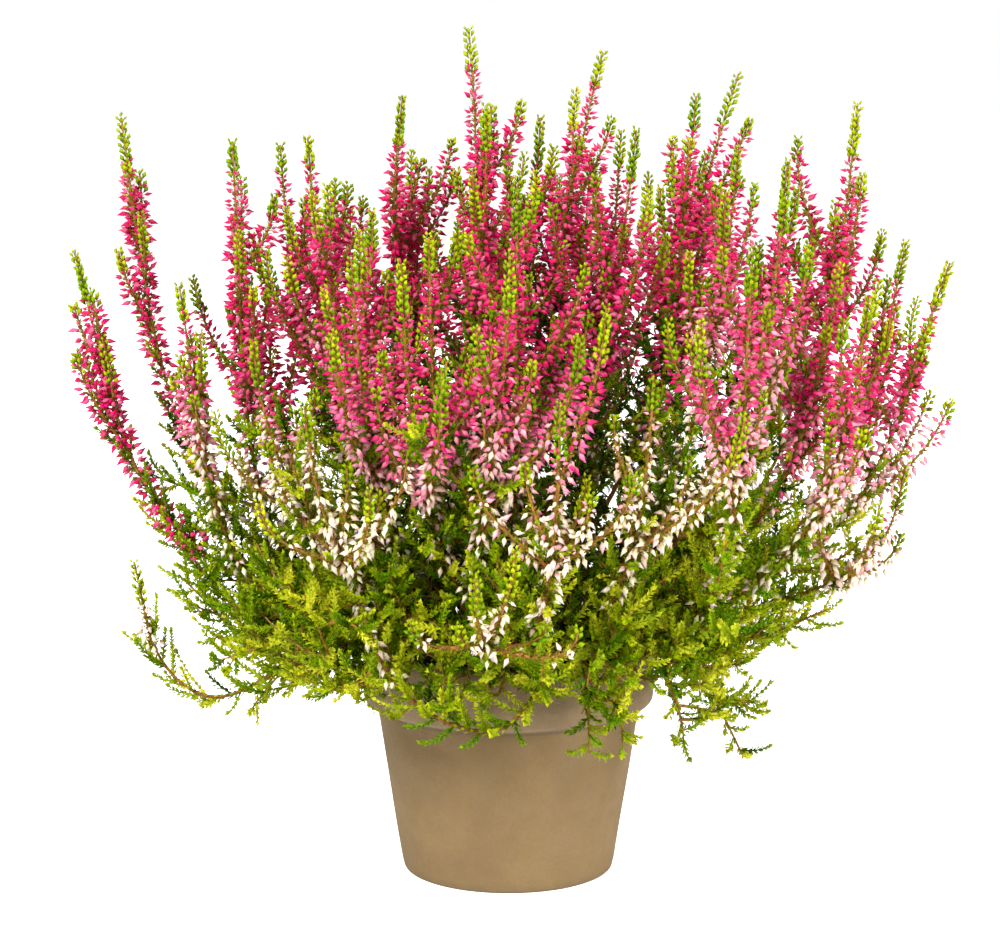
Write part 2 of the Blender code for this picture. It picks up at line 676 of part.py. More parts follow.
class Heather:
    """Grows the blooms and, under them, the forking stems with their leafy shoots."""

    def __init__(self, draw):
        self.draw = draw
        self.crowd = Crowd()
        self.stems = {sector: [] for sector in range(SECTORS + 1)}
        self.pieces = {sector: [] for sector in range(SECTORS + 1)}
        self.stem_colour = principled("stems_and_leaves", (0.16, 0.25, 0.03), 0.7)
        self.bloom_count = 0

    def grow_bloom(self, sector, route, bloom, tips, lean):
        """One bloom, and the bare route of the stem that carries it."""
        self.bloom_count += 1
        name = f"bloom_{self.bloom_count:02d}"
        length = route_length(route)
        joint = length - bloom
        leader = part_of(route, joint + TOUCH_GAP, length)
        sides = [side_route(route, side_fork(route, joint, tip), tip, lean) for tip in tips]
        bare = BARE_LEADER if tips else BARE_DROOPING
        made = spike(name, leader, STEM_RADIUS, bare, self.draw, self.clear_of(sides))
        made.data.materials.append(bloom_colour(place_on(route, joint + bloom / 2)[0].z))
        pieces = []
        for number, side in enumerate(sides):
            others = [leader] + sides[:number] + sides[number + 1:]
            pieces.append(spike(f"{name}_side_{number}", side, SIDE_ROOT_RADIUS, BARE_SIDE, self.draw,
                                self.clear_of(others)))
        join_repeats(made, pieces)
        self.crowd.add(name, leader, BUD_GIRTH)
        for side in sides:
            self.crowd.add(name, side[3:], BUD_GIRTH)
        self.stems[sector].append(part_of(route, 0.0, joint))

    def clear_of(self, routes):
        """A test for whether a bud's point stays clear of the stems of the spikes beside it."""
        places = [place for route in routes for place in route]
        return lambda point: all((place - point).length > BUD_CLEARANCE for place in places)

    def grow_blooms(self):
        """A bloom whose tip is near an earlier one's forks off that one's stem."""
        parents = {sector: [] for sector in range(SECTORS + 1)}
        for number, (bloom, lean, *tips) in enumerate(BLOOMS, 1):
            tips = [Vector(tip) for tip in tips]
            sector = sector_of(tips[0])
            near = [route for route in parents[sector] if (route[-1] - tips[0]).length < FORK_WITHIN]
            if near:
                route = forked_route(near[0], fork_on_stem(number), tips[0], lean)
            else:
                route = standing_route(tips[0], lean)
                parents[sector].append(route)
            self.grow_bloom(sector, route, bloom, tips[1:], lean)
        for bloom, *points in DROOPING_BLOOMS:
            points = [Vector(point) for point in points]
            self.grow_bloom(sector_of(points[0]), drooping_route(points), bloom, [], 0)

    def grow_stems(self):
        """The leafy stems under the blooms, and the twigs, which end in a point."""
        bearing = {sector: len(routes) for sector, routes in self.stems.items()}
        for points in TWIGS:
            points = [Vector(point) for point in points]
            self.stems[sector_of(points[0])].append(drooping_route(points))
        for sector, routes in self.stems.items():
            for number, route in enumerate(routes):
                self.crowd.add(sector, route, STEM_RADIUS + 0.2)
                self.pieces[sector].append(self.woody_stem(f"stem_{sector}_{number}", route,
                                                           number >= bearing[sector]))

    def grow_skirt(self):
        """The low leafy branches round the rim, wherever one clears the other sectors' growth."""
        for number in range(SKIRT_COUNT):
            sector, route = skirt_route(number)
            outer = part_of(route, BARE_SKIRT, route_length(route))
            if not self.crowd.is_clear(sector, outer, SKIRT_GIRTH) or not clears_pot(outer, SKIRT_RADIUS):
                continue
            self.crowd.add(sector, outer, SKIRT_GIRTH)
            self.stems[sector].append(route)
            self.pieces[sector].append(self.skirt_branch(f"skirt_{number}", route))

    def skirt_branch(self, name, route):
        length = route_length(route)
        steps = max(2, round(length / SKIRT_STEP))
        rings = [(length * step / steps, SKIRT_RADIUS) for step in range(steps)]
        rings.append((length - BARE_TIP, SKIRT_RADIUS))
        flares = [SKIRT_LEAF if low >= BARE_SKIRT else None for low, _ in rings[:-1]]
        shape = three_sided_stem(route, rings, flares, self.draw.uniform(0, math.tau), True,
                                 lambda point: clears_pot([point], LEAF_POINT))
        return object_from_bmesh(name, shape)

    def woody_stem(self, name, route, is_twig):
        length = route_length(route)
        steps = max(2, round(length / STEM_STEP))
        rings = [(length * step / steps, STEM_RADIUS) for step in range(steps + 1)]
        rings[0] = (0.0, STEM_ROOT_RADIUS)
        if is_twig:
            rings[-1] = (length - BARE_TIP, STEM_ROOT_RADIUS)
        in_pot = math.hypot(route[0].x, route[0].y) < RIM_RADIUS - WALL
        bare = BARE_STEM if in_pot else BARE_FORK
        flares = [STEM_LEAF if low >= bare else None for low, _ in rings[:-1]]
        flares[-1] = None
        shape = three_sided_stem(route, rings, flares, self.draw.uniform(0, math.tau), is_twig,
                                 lambda point: clears_pot([point], LEAF_POINT))
        return object_from_bmesh(name, shape)

    def shoot_route(self, route, distance):
        """A shoot aims aside, forward and away from the middle, and its end turns up."""
        start, heading = place_on(route, distance)
        angle = self.draw.uniform(0, math.tau)
        side = heading.orthogonal().normalized()
        side = side * math.cos(angle) + heading.cross(side) * math.sin(angle)
        away = Vector((start.x, start.y, 0)).normalized() * SHOOT_AWAY
        aim = (side + heading * SHOOT_AHEAD + away).normalized()
        length = self.draw.uniform(*SHOOT_LENGTH)
        bend = start + aim * length * 0.55
        end = start + aim * length * 0.92 + Vector((0, 0, length * SHOOT_TURN_UP))
        return bent_route(start, start.lerp(bend, 0.67), end.lerp(bend, 0.67), end, 8)

    def grow_shoots(self):
        """Grows shoots from places drawn at random along the stems, where there is room."""
        starts = []
        for sector, routes in self.stems.items():
            for route in routes:
                for index in range(int((route_length(route) - SHOOT_START) / SHOOT_SPACING)):
                    starts.append((sector, route, SHOOT_START + SHOOT_SPACING * (index + 0.5)))
        self.draw.shuffle(starts)
        grown = 0
        for sector, route, distance in starts:
            if grown < SHOOT_COUNT:
                grown += self.grow_shoot(sector, route, distance)

    def grow_shoot(self, sector, route, distance):
        """Tries a few aims for a shoot, and says whether one of them had room."""
        for _ in range(SHOOT_TRIES):
            shoot = self.shoot_route(route, distance + self.draw.uniform(-SHOOT_SCATTER, SHOOT_SCATTER))
            outer = shoot[3:]
            if not clears_pot(outer, SHOOT_GIRTH):
                continue
            if self.crowd.is_clear(sector, outer, SHOOT_GIRTH, SHOOT_APART):
                self.crowd.add(sector, outer, SHOOT_GIRTH)
                self.pieces[sector].append(leafy_shoot(f"shoot_{sector}", shoot, self.draw))
                return True
        return False

    def make_stocks(self):
        """Each stock, joined to the stems and shoots of its sector."""
        low = PEAT_TOP_Z - STOCK_DEPTH
        high = PEAT_TOP_Z + STOCK_HEIGHT
        for sector, place in enumerate(stock_places()):
            name = "branches_centre" if sector == 0 else f"branches_{sector}"
            shape = bmesh.new()
            bmesh.ops.create_cone(shape, cap_ends=True, segments=STOCK_SIDES, radius1=STOCK_RADIUS,
                                  radius2=STOCK_TOP_RADIUS, depth=high - low,
                                  matrix=Matrix.Translation((place.x, place.y, (low + high) / 2)))
            stock = object_from_bmesh(name, shape, self.stem_colour)
            join_repeats(stock, self.pieces[sector])


def main():
    remove_everything()
    make_pot()
    make_peat(random.Random(PEAT_SEED))
    heather = Heather(random.Random(SEED))
    heather.grow_blooms()
    heather.grow_stems()
    heather.grow_skirt()
    heather.grow_shoots()
    heather.make_stocks()


main()
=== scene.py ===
"""Heather in bud, growing in a clay pot: the looks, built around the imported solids.

The sections follow the plant as it is put together: the pot, the peat in it, the woody stems
with their leafy shoots, the spikes of buds, then the floor, the lights and the camera.
Tables and sizes are in millimetres, as in the part's source; meshes are in metres.
"""
import math
import random

import bpy
import numpy as np
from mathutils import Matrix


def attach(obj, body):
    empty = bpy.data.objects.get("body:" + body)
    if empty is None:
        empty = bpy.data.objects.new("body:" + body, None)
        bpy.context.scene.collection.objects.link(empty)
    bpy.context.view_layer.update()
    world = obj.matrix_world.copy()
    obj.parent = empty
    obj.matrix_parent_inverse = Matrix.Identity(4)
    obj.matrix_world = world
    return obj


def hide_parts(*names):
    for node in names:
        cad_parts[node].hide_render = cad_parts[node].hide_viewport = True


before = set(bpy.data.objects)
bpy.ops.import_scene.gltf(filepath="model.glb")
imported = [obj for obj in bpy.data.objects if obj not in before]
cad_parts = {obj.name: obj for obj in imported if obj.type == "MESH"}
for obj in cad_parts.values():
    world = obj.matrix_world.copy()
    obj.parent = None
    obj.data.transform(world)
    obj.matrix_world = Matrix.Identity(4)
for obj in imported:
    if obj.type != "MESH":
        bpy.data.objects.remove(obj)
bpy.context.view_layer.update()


# Pot
# A standard clay flower pot, turned and fired without glaze. The body tapers to a flat foot
# and carries a thicker rolled rim band; the clay is matt, with faint blotches and small pits.
MM = 0.001
POT_SIDES = 160
BASE_RADIUS = 43.0
BODY_TOP_RADIUS = 53.7
BODY_TOP_Z = 68.0
RIM_RADIUS = 60.0
RIM_WIDEST_Z = 79.0
RIM_TOP_Z = 94.0
RIM_TOP_RADIUS = 58.6
WALL = 4.2
FLOOR_THICKNESS = 5.0
FOOT_INSET = 1.6
FOOT_ROUND = 1.7
BODY_RINGS = 34
GROOVE_DEPTH = 0.25
LIP_INSET = 3.9
LIP_ROUND = 3.4
ROLL_ROUND = 1.9
POT_UNEVENNESS = 0.22
PIT_COUNT = 46
PIT_RADIUS = (0.8, 1.9)
PIT_DEPTH = 0.35
POT_SEED = 3

# Slow waves in the thrown wall: strength, lobes round the pot, twist up each millimetre, start
WALL_WAVES = ((1.0, 2, 0.045, 0.7), (0.6, 3, -0.08, 0.0), (0.4, 5, 0.15, 2.0))

# The clay's colours, each between two shades, and the heights where they change
BODY_CLAY = ((0.186, 0.117, 0.044), (0.220, 0.141, 0.056))
RIM_CLAY = ((0.208, 0.138, 0.066), (0.245, 0.168, 0.085))
GRAIN_SHADE = (0.12, 0.075, 0.04)
# The groove's colour is a painted shadow under the rim band
GROOVE_PAINTED_SHADOW = (0.09, 0.058, 0.034)
FOOT_SHADE = (0.12, 0.08, 0.045)
BODY_TO_RIM_Z = (66.5, 70.5)
# Heights where the painted shadow in the groove fades in, then out
INTO_GROOVE_SHADOW_Z = (66.8, 67.8)
OUT_OF_GROOVE_SHADOW_Z = (68.2, 69.4)
FOOT_SHADE_Z = 4.0


def add_node(tree, kind, inputs=None, **settings):
    """A new node whose inputs are set to values or linked from other nodes' sockets."""
    node = tree.nodes.new(kind)
    for key, value in settings.items():
        setattr(node, key, value)
    for key, value in (inputs or {}).items():
        if isinstance(value, bpy.types.NodeSocket):
            tree.links.new(value, node.inputs[key])
        else:
            node.inputs[key].default_value = value
    return node


def new_material(name, roughness):
    """A material with its Principled shader, and the tree to build its pattern in."""
    material = bpy.data.materials.new(name)
    material.use_nodes = True
    tree = material.node_tree
    shader = tree.nodes["Principled BSDF"]
    shader.inputs["Roughness"].default_value = roughness
    return material, tree, shader


def mix_colours(tree, share, low, high):
    """Blends two colours, either of which may be a socket, and gives the blend's socket."""
    node = add_node(tree, "ShaderNodeMix", data_type="RGBA")
    for slot, value in ((0, share), (6, low), (7, high)):
        if isinstance(value, bpy.types.NodeSocket):
            tree.links.new(value, node.inputs[slot])
        elif slot == 0:
            node.inputs[slot].default_value = value
        else:
            node.inputs[slot].default_value = (*value, 1.0)
    return node.outputs[2]


def colour_ramp(tree, share, *stops):
    """A ramp through (position, colour) stops."""
    node = add_node(tree, "ShaderNodeValToRGB", {"Fac": share})
    ramp = node.color_ramp
    while len(ramp.elements) < len(stops):
        ramp.elements.new(0.5)
    for element, (position, colour) in zip(ramp.elements, stops):
        element.position = position
        element.color = (*colour, 1.0)
    return node.outputs["Color"]


def mapped(tree, value, low, high, to_low=0.0, to_high=1.0):
    """Spreads the range from low to high over another range, with soft ends."""
    node = add_node(tree, "ShaderNodeMapRange", {"Value": value, "From Min": low, "From Max": high,
                                                 "To Min": to_low, "To Max": to_high},
                    interpolation_type="SMOOTHSTEP")
    return node.outputs["Result"]


def mapped_up(tree, height, zone, to_low=0.0, to_high=1.0):
    """The same, up a zone of heights in millimetres."""
    return mapped(tree, height, zone[0] * MM, zone[1] * MM, to_low, to_high)


def surface_bump(tree, shader, strength, distance, height):
    bump = add_node(tree, "ShaderNodeBump", {"Strength": strength, "Distance": distance,
                                             "Height": height})
    tree.links.new(bump.outputs["Normal"], shader.inputs["Normal"])


def make_mottle_group():
    """Soft patches over a surface: a mask from 0 to 1 whose scale and sharpness can be set."""
    group = bpy.data.node_groups.new("mottle", "ShaderNodeTree")
    for name, start in (("Scale", 100.0), ("Detail", 3.0), ("Low", 0.35), ("High", 0.65)):
        socket = group.interface.new_socket(name, in_out="INPUT", socket_type="NodeSocketFloat")
        socket.default_value = start
    group.interface.new_socket("Mask", in_out="OUTPUT", socket_type="NodeSocketFloat")
    given = group.nodes.new("NodeGroupInput")
    made = group.nodes.new("NodeGroupOutput")
    place = add_node(group, "ShaderNodeTexCoord")
    noise = add_node(group, "ShaderNodeTexNoise", {"Vector": place.outputs["Object"],
                                                   "Scale": given.outputs["Scale"],
                                                   "Detail": given.outputs["Detail"]})
    group.links.new(mapped(group, noise.outputs["Fac"], given.outputs["Low"], given.outputs["High"]),
                    made.inputs["Mask"])
    return group


mottle = make_mottle_group()


def mottled(tree, scale, detail, low=0.35, high=0.65):
    """The mottle group's mask, with values of a material's own."""
    node = add_node(tree, "ShaderNodeGroup", node_tree=mottle)
    node.inputs["Scale"].default_value = scale
    node.inputs["Detail"].default_value = detail
    node.inputs["Low"].default_value = low
    node.inputs["High"].default_value = high
    return node.outputs["Mask"]


def object_from_arrays(name, places, faces, materials):
    """A mesh object in metres from arrays in millimetres."""
    mesh = bpy.data.meshes.new(name)
    mesh.from_pydata((np.asarray(places) * MM).tolist(), [], [list(face) for face in faces])
    for material in materials:
        mesh.materials.append(material)
    mesh.update()
    made = bpy.data.objects.new(name, mesh)
    bpy.context.scene.collection.objects.link(made)
    return made


def pot_radius(z):
    """Outside radius of the straight body at a height."""
    return BASE_RADIUS + (BODY_TOP_RADIUS - BASE_RADIUS) * z / BODY_TOP_Z


def arc(centre, radius, start, stop, count):
    """Points on an arc in the half section, by angles in degrees from straight out."""
    angles = np.radians(np.linspace(start, stop, count))
    return [(centre[0] + radius * math.cos(a), centre[1] + radius * math.sin(a)) for a in angles]


def pot_half_section():
    """From the middle of the base, up the body, over the rolled rim and down inside."""
    foot = arc((BASE_RADIUS - FOOT_INSET, FOOT_ROUND), FOOT_ROUND, -90, -8, 6)
    body = [(pot_radius(z), z) for z in np.linspace(4.0, BODY_TOP_Z - 1.4, BODY_RINGS)]
    groove = [(BODY_TOP_RADIUS - GROOVE_DEPTH, BODY_TOP_Z - 0.4),
              (BODY_TOP_RADIUS + 0.1, BODY_TOP_Z + 0.3)]
    lip_under = arc((RIM_RADIUS - LIP_INSET, RIM_WIDEST_Z - 6.0), LIP_ROUND, -118, -20, 8)
    band_heights = np.linspace(RIM_WIDEST_Z - 2.0, RIM_TOP_Z - 2.6, 10)
    slope = (RIM_TOP_RADIUS - RIM_RADIUS) / (RIM_TOP_Z - RIM_WIDEST_Z)
    band = [(RIM_RADIUS + slope * max(0.0, z - RIM_WIDEST_Z) - 0.05, z) for z in band_heights]
    roll = arc((RIM_TOP_RADIUS - ROLL_ROUND, RIM_TOP_Z - ROLL_ROUND), ROLL_ROUND, 12, 172, 10)
    inside = [(RIM_TOP_RADIUS - WALL, RIM_TOP_Z - 4.0), (BODY_TOP_RADIUS - WALL, BODY_TOP_Z),
              (pot_radius(FLOOR_THICKNESS) - WALL, FLOOR_THICKNESS), (0.0, FLOOR_THICKNESS)]
    return [(0.0, 0.0), *foot, *body, *groove, *lip_under, *band, *roll, *inside]


def ring_places(profile, sides):
    """Points on rings of (radius, z) round the axis, and the numbers of each ring's points."""
    places = []
    loops = []
    for radius, z in profile:
        if radius == 0:
            loops.append([len(places)] * sides)
            places.append((0.0, 0.0, z))
            continue
        loops.append(list(range(len(places), len(places) + sides)))
        for side in range(sides):
            angle = math.tau * side / sides
            places.append((radius * math.cos(angle), radius * math.sin(angle), z))
    return places, loops


def turned(profile, sides):
    """Vertices and faces of a shape turned from a half section that starts and ends on the axis."""
    places, loops = ring_places(profile, sides)
    faces = []
    for low, high in zip(loops, loops[1:]):
        for side in range(sides):
            after = (side + 1) % sides
            corners = [low[side], low[after], high[after], high[side]]
            faces.append(list(dict.fromkeys(corners)))
    return np.array(places), faces


def throw_pot(draw):
    """The turned pot, a little out of true as a thrown one is, with small pits in its skin."""
    places, faces = turned(pot_half_section(), POT_SIDES)
    turn = np.arctan2(places[:, 1], places[:, 0])
    height = places[:, 2]
    wander = sum(strength * np.sin(lobes * turn + twist * height + start)
                 for strength, lobes, twist, start in WALL_WAVES) * POT_UNEVENNESS / 2
    reach = np.hypot(places[:, 0], places[:, 1])
    outside = (reach > pot_radius(height) - 0.8) & (height > 3)
    push = np.where(outside, wander, 0.0)
    for _ in range(PIT_COUNT):
        pit_turn = draw.uniform(-math.pi, math.pi)
        pit_z = draw.uniform(6, RIM_TOP_Z - 4)
        radius = draw.uniform(*PIT_RADIUS)
        across = (np.angle(np.exp(1j * (turn - pit_turn)))) * reach
        near = np.exp(-(across ** 2 + (height - pit_z) ** 2) / radius ** 2)
        push -= np.where(outside, near * PIT_DEPTH, 0.0)
    scale = 1 + push / np.maximum(reach, 1.0)
    places[:, 0] *= scale
    places[:, 1] *= scale
    return places, faces


def fired_clay():
    """Matt clay, greyer on the rim band, with a painted shadow in the groove under it, and darker at the
    foot.
    """
    material, tree, shader = new_material("fired_clay", 0.86)
    place = add_node(tree, "ShaderNodeTexCoord").outputs["Object"]
    height = add_node(tree, "ShaderNodeSeparateXYZ", {"Vector": place}).outputs["Z"]
    body = mix_colours(tree, mottled(tree, 34.0, 4.0, 0.38, 0.66), *BODY_CLAY)
    rim = mix_colours(tree, mottled(tree, 46.0, 4.0, 0.36, 0.64), *RIM_CLAY)
    clay = mix_colours(tree, mapped_up(tree, height, BODY_TO_RIM_Z), body, rim)
    grain = mottled(tree, 900.0, 2.0, 0.25, 0.75)
    clay = mix_colours(tree, mapped(tree, grain, 0.0, 1.0, 0.0, 0.16), clay, GRAIN_SHADE)
    above = mapped_up(tree, height, INTO_GROOVE_SHADOW_Z)
    below = mapped_up(tree, height, OUT_OF_GROOVE_SHADOW_Z, 1.0, 0.0)
    groove = add_node(tree, "ShaderNodeMath", {0: above, 1: below}, operation="MULTIPLY").outputs[0]
    # A painted shadow in the groove under the rim band
    clay = mix_colours(tree, mapped(tree, groove, 0.0, 1.0, 0.0, 0.55), clay, GROOVE_PAINTED_SHADOW)
    foot = mapped_up(tree, height, (0.0, FOOT_SHADE_Z), 0.35, 0.0)
    tree.links.new(mix_colours(tree, foot, clay, FOOT_SHADE), shader.inputs["Base Color"])
    dusty = mapped(tree, mottled(tree, 60.0, 3.0), 0.0, 1.0, 0.78, 0.92)
    tree.links.new(dusty, shader.inputs["Roughness"])
    relief = add_node(tree, "ShaderNodeMath", {0: grain, 1: mottled(tree, 260.0, 4.0)}, operation="ADD")
    surface_bump(tree, shader, 0.22, 0.0005, relief.outputs[0])
    return material


clay_pot = object_from_arrays("clay_pot", *throw_pot(random.Random(POT_SEED)), [fired_clay()])
clay_pot.data.shade_smooth()
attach(clay_pot, "root")
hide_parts("pot")


# Peat
# Moist peat compost that fills the pot to just under its rim. It is dark brown and crumbly,
# pressed down by hand, with small lumps lying loose on top between the stems.
PEAT_TOP_Z = 86.0
PEAT_GAP = 0.3
PEAT_SIDES = 96
PEAT_RINGS = 26
PEAT_EDGE_GAP = 0.8
LUMP_HEIGHT = 0.5
CRUMB_COUNT = 520
CRUMB_RADIUS = (0.7, 2.2)
CRUMB_FACES = ((1, 3, 5), (3, 0, 5), (0, 2, 5), (2, 1, 5), (3, 1, 4), (0, 3, 4), (2, 0, 4), (1, 2, 4))
PEAT_SEED = 5
WET_PEAT = (0.010, 0.006, 0.004)
FIBRE_BROWN = (0.052, 0.030, 0.018)
DRY_PEAT = (0.075, 0.042, 0.022)


def inner_radius(z):
    """Radius of the pot's inside wall at a height."""
    low_radius = pot_radius(FLOOR_THICKNESS) - WALL
    if z <= BODY_TOP_Z:
        share = (z - FLOOR_THICKNESS) / (BODY_TOP_Z - FLOOR_THICKNESS)
        return low_radius + (BODY_TOP_RADIUS - WALL - low_radius) * share
    share = (z - BODY_TOP_Z) / (RIM_TOP_Z - 2.0 - BODY_TOP_Z)
    return BODY_TOP_RADIUS - WALL + (RIM_TOP_RADIUS - BODY_TOP_RADIUS) * share


def heap_peat(draw):
    """The peat's rough top on a plain plug, with loose crumbs sunk half into it."""
    bottom = FLOOR_THICKNESS + PEAT_GAP
    edge = inner_radius(PEAT_TOP_Z) - PEAT_EDGE_GAP
    profile = [(0.0, bottom), (inner_radius(bottom) - PEAT_EDGE_GAP, bottom),
               (inner_radius(BODY_TOP_Z) - PEAT_EDGE_GAP, BODY_TOP_Z)]
    profile += [(edge * share, PEAT_TOP_Z) for share in np.linspace(1.0, 0.06, PEAT_RINGS)]
    profile += [(0.0, PEAT_TOP_Z)]
    places, faces = turned(profile, PEAT_SIDES)
    top = places[:, 2] > PEAT_TOP_Z - 1
    x, y = places[:, 0], places[:, 1]
    lumps = (np.sin(x * 0.41 + 1.0) * np.sin(y * 0.37) + 0.7 * np.sin(x * 0.9 + y * 0.6)
             + 0.5 * np.sin(x * 1.7 - y * 1.3 + 0.5))
    places[:, 2] += np.where(top, lumps * LUMP_HEIGHT, 0.0)
    places = places.tolist()
    for _ in range(CRUMB_COUNT):
        out = edge * math.sqrt(draw.random()) * 0.97
        turn = draw.uniform(0, math.tau)
        radius = draw.uniform(*CRUMB_RADIUS)
        first = len(places)
        middle = (out * math.cos(turn), out * math.sin(turn), PEAT_TOP_Z + radius * 0.3)
        for axis in range(3):
            for way in (-1, 1):
                corner = [middle[k] + draw.uniform(-0.3, 0.3) * radius for k in range(3)]
                corner[axis] += way * radius * draw.uniform(0.7, 1.1)
                places.append(corner)
        faces += [[first + corner for corner in face] for face in CRUMB_FACES]
    return places, faces


def moist_peat():
    """Nearly black and fibrous, with drier brown patches."""
    material, tree, shader = new_material("moist_peat", 0.95)
    fibres = mottled(tree, 700.0, 5.0, 0.3, 0.7)
    crumbs = mix_colours(tree, fibres, WET_PEAT, FIBRE_BROWN)
    patches = mottled(tree, 120.0, 2.0, 0.5, 0.75)
    tree.links.new(mix_colours(tree, patches, crumbs, DRY_PEAT), shader.inputs["Base Color"])
    surface_bump(tree, shader, 0.8, 0.0012, fibres)
    return material


peat = object_from_arrays("peat_fill", *heap_peat(random.Random(PEAT_SEED)), [moist_peat()])
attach(peat, "root")
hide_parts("peat")


# Woody stems and leafy shoots
# Nine woody stocks stand in the peat and fork into slim wiry stems, which sweep out over the rim
# and turn up, or droop as twigs. All along them grow short shoots, each clad in four rows of
# scale-like leaves; young leaves are yellow-green, the old inner ones dark and painted darker as shade.
SECTORS = 8
STOCK_CIRCLE_RADIUS = 27.0
STOCK_RADIUS = 3.0
STOCK_DEPTH = 18.0
STOCK_HEIGHT = 9.0
CENTRE_REACH = 54.0
ROOT_Z = PEAT_TOP_Z + 4.0
ROOT_OFFSET = 1.4
FORK_DISTANCE = (30.0, 46.0)
FORK_WITHIN = 62.0
GOLDEN = 0.618034
STEM_RADII = (1.15, 0.62)
STEM_SIDES = 5
BARE_STEM = 26.0
GROWTH_SEED = 17

# How a stem sweeps out and turns up. Within FAR_REACH tips grow far, and their stems run lower.
FAR_REACH = (120.0, 165.0)
CENTRE_SWEEP = 0.35
SWEEP = 0.62
FAR_SWEEP_MORE = 0.30
LEAST_PULL = (17.0, 37.0)
PULL_SHARE = 0.27
FAR_PULL_LESS = 0.12
UPRIGHT_SHARE = 0.52
FORK_LEAVE_SHARE = 0.18
FORK_SWEEP = 0.38
FAR_FORK_MORE = 0.20
SIDE_LEAVE_SHARE = 0.22
SIDE_UPRIGHT_SHARE = 0.5

# Shoots and leaves. Steps are along the stem, radii from its foot to its end, lengths from least to
# most, and a leaf has its length, its width and its spread from the stem in degrees.
SHOOT_STEP = 5.0
SHOOT_LENGTH = (11.0, 21.0)
SHOOT_RADII = (0.42, 0.25)
SHOOT_TURN = 2.4
SHOOT_LEAF_STEP = 1.12
SHOOT_LEAF = (2.9, 1.7, 44)
SHOOT_TIP_LEAF_STEP = 0.8
SHOOT_TIP_LEAF = (2.61, 1.7, 20)
STEM_LEAF_STEP = 1.7
STEM_LEAF = (3.0, 1.3, 35)
LEAF_AIM_SCATTER = 7
LAST_LEAF_LESS = 0.45
DROOPING_SHOOT_STEP = 3.2
SPRAY_COUNT = 2
SPRAY_START = (16, 66)
SPRAY_LENGTH = (34.0, 60.0)
SPRAY_RADII = (0.75, 0.35)
SPRAY_SHOOT_STEP = 3.8
SPRAY_SHOOT_LENGTH = (9.0, 16.0)
SPRAY_LEAF_STEP = 1.5
SPRAY_LEAF = (2.6, 1.2, 40)
TWIG_RADII = (1.15, 0.4)
TWIG_SPRAYS = 4
TWIG_SPRAY_LENGTH = (14.0, 28.0)
TWIG_SHOOT_STEP = 3.4
TWIG_SHOOT_LENGTH = (9.0, 16.0)
TWIG_LEAF = (2.6, 1.2, 42)

# The skirt of low branches round the rim; the shares spread its branches evenly, in no order
SKIRT_COUNT = 54
SKIRT_SHARES = (0.8813, 0.7767, 0.6844, 0.5316)
SKIRT_ROOT_SPREAD = 5.0
SKIRT_OVER_RIM = 65.0
SKIRT_OVER_RIM_Z = (105.0, 119.0)
SKIRT_REACH = (82.0, 98.0)
SKIRT_EXTRA_WIDTH = 44.0
SKIRT_LOW_Z = (84.0, 112.0)
SKIRT_RISE = (2.0, 44.0)
SKIRT_ASIDE = 22.0
SKIRT_SHOOT_STEP = 3.6
SKIRT_SHOOT_LENGTH = (10.0, 19.0)
SKIRT_RADII = (0.95, 0.4)
SKIRT_LEAF = (2.8, 1.3, 42)
TWIGLET_RADII = (0.55, 0.3)
TWIGLET_STEP = 15.0
TWIGLET_LENGTH = (18.0, 34.0)
TWIGLET_LIFT = (-0.35, 0.45)
TWIGLET_SHOOT_LENGTH = (9.0, 15.0)

# The old growth inside, its leaves painted nearly black as shade
INNER_STEP = 7.0
INNER_LENGTH = (16.0, 30.0)
INNER_LEAF_STEP = 2.7
INNER_LEAF = (5.2, 2.4, 52)
INNER_SHADE_TONE = 0.06
INNER_REACH = 84.0
INNER_ABOVE_Z = 108.0

# Leaf tones run from 0, dark, for old leaves and for painted shade, to 1, young and yellow. Leaves
# are painted dark as shade within one distance of the middle and bright beyond another, and grow
# brighter from one height down to another.
LEAF_SHADE_REACH = (30.0, 100.0)
LOW_LEAF_Z = (150.0, 90.0)
LEAST_TONE = 0.26
OUT_OF_SHADE_TONE = 0.38
LOW_TONE = 0.14
CLUMP_TONE = 0.27
TONE_SCATTER = 0.22

BARK_AGES = ((0.0, (0.080, 0.032, 0.012)), (0.35, (0.36, 0.145, 0.030)),
             (0.6, (0.42, 0.22, 0.036)), (1.0, (0.34, 0.28, 0.036)))
BARK_FLECKS = (0.060, 0.028, 0.012)
# The dark end of these leaf colours serves old leaves and painted shade inside the bush
LEAF_AGE_AND_SHADE_TONES = ((0.0, (0.008, 0.015, 0.001)), (0.22, (0.034, 0.080, 0.001)),
             (0.5, (0.185, 0.31, 0.001)), (0.75, (0.46, 0.54, 0.004)), (1.0, (0.74, 0.72, 0.035)))
DULL_LEAF = (0.07, 0.14, 0.003)
DEEP_GREEN = (0.085, 0.26, 0.002)
LEAF_POINT = (0.60, 0.50, 0.03)
LEAF_VEIN = (0.05, 0.08, 0.003)

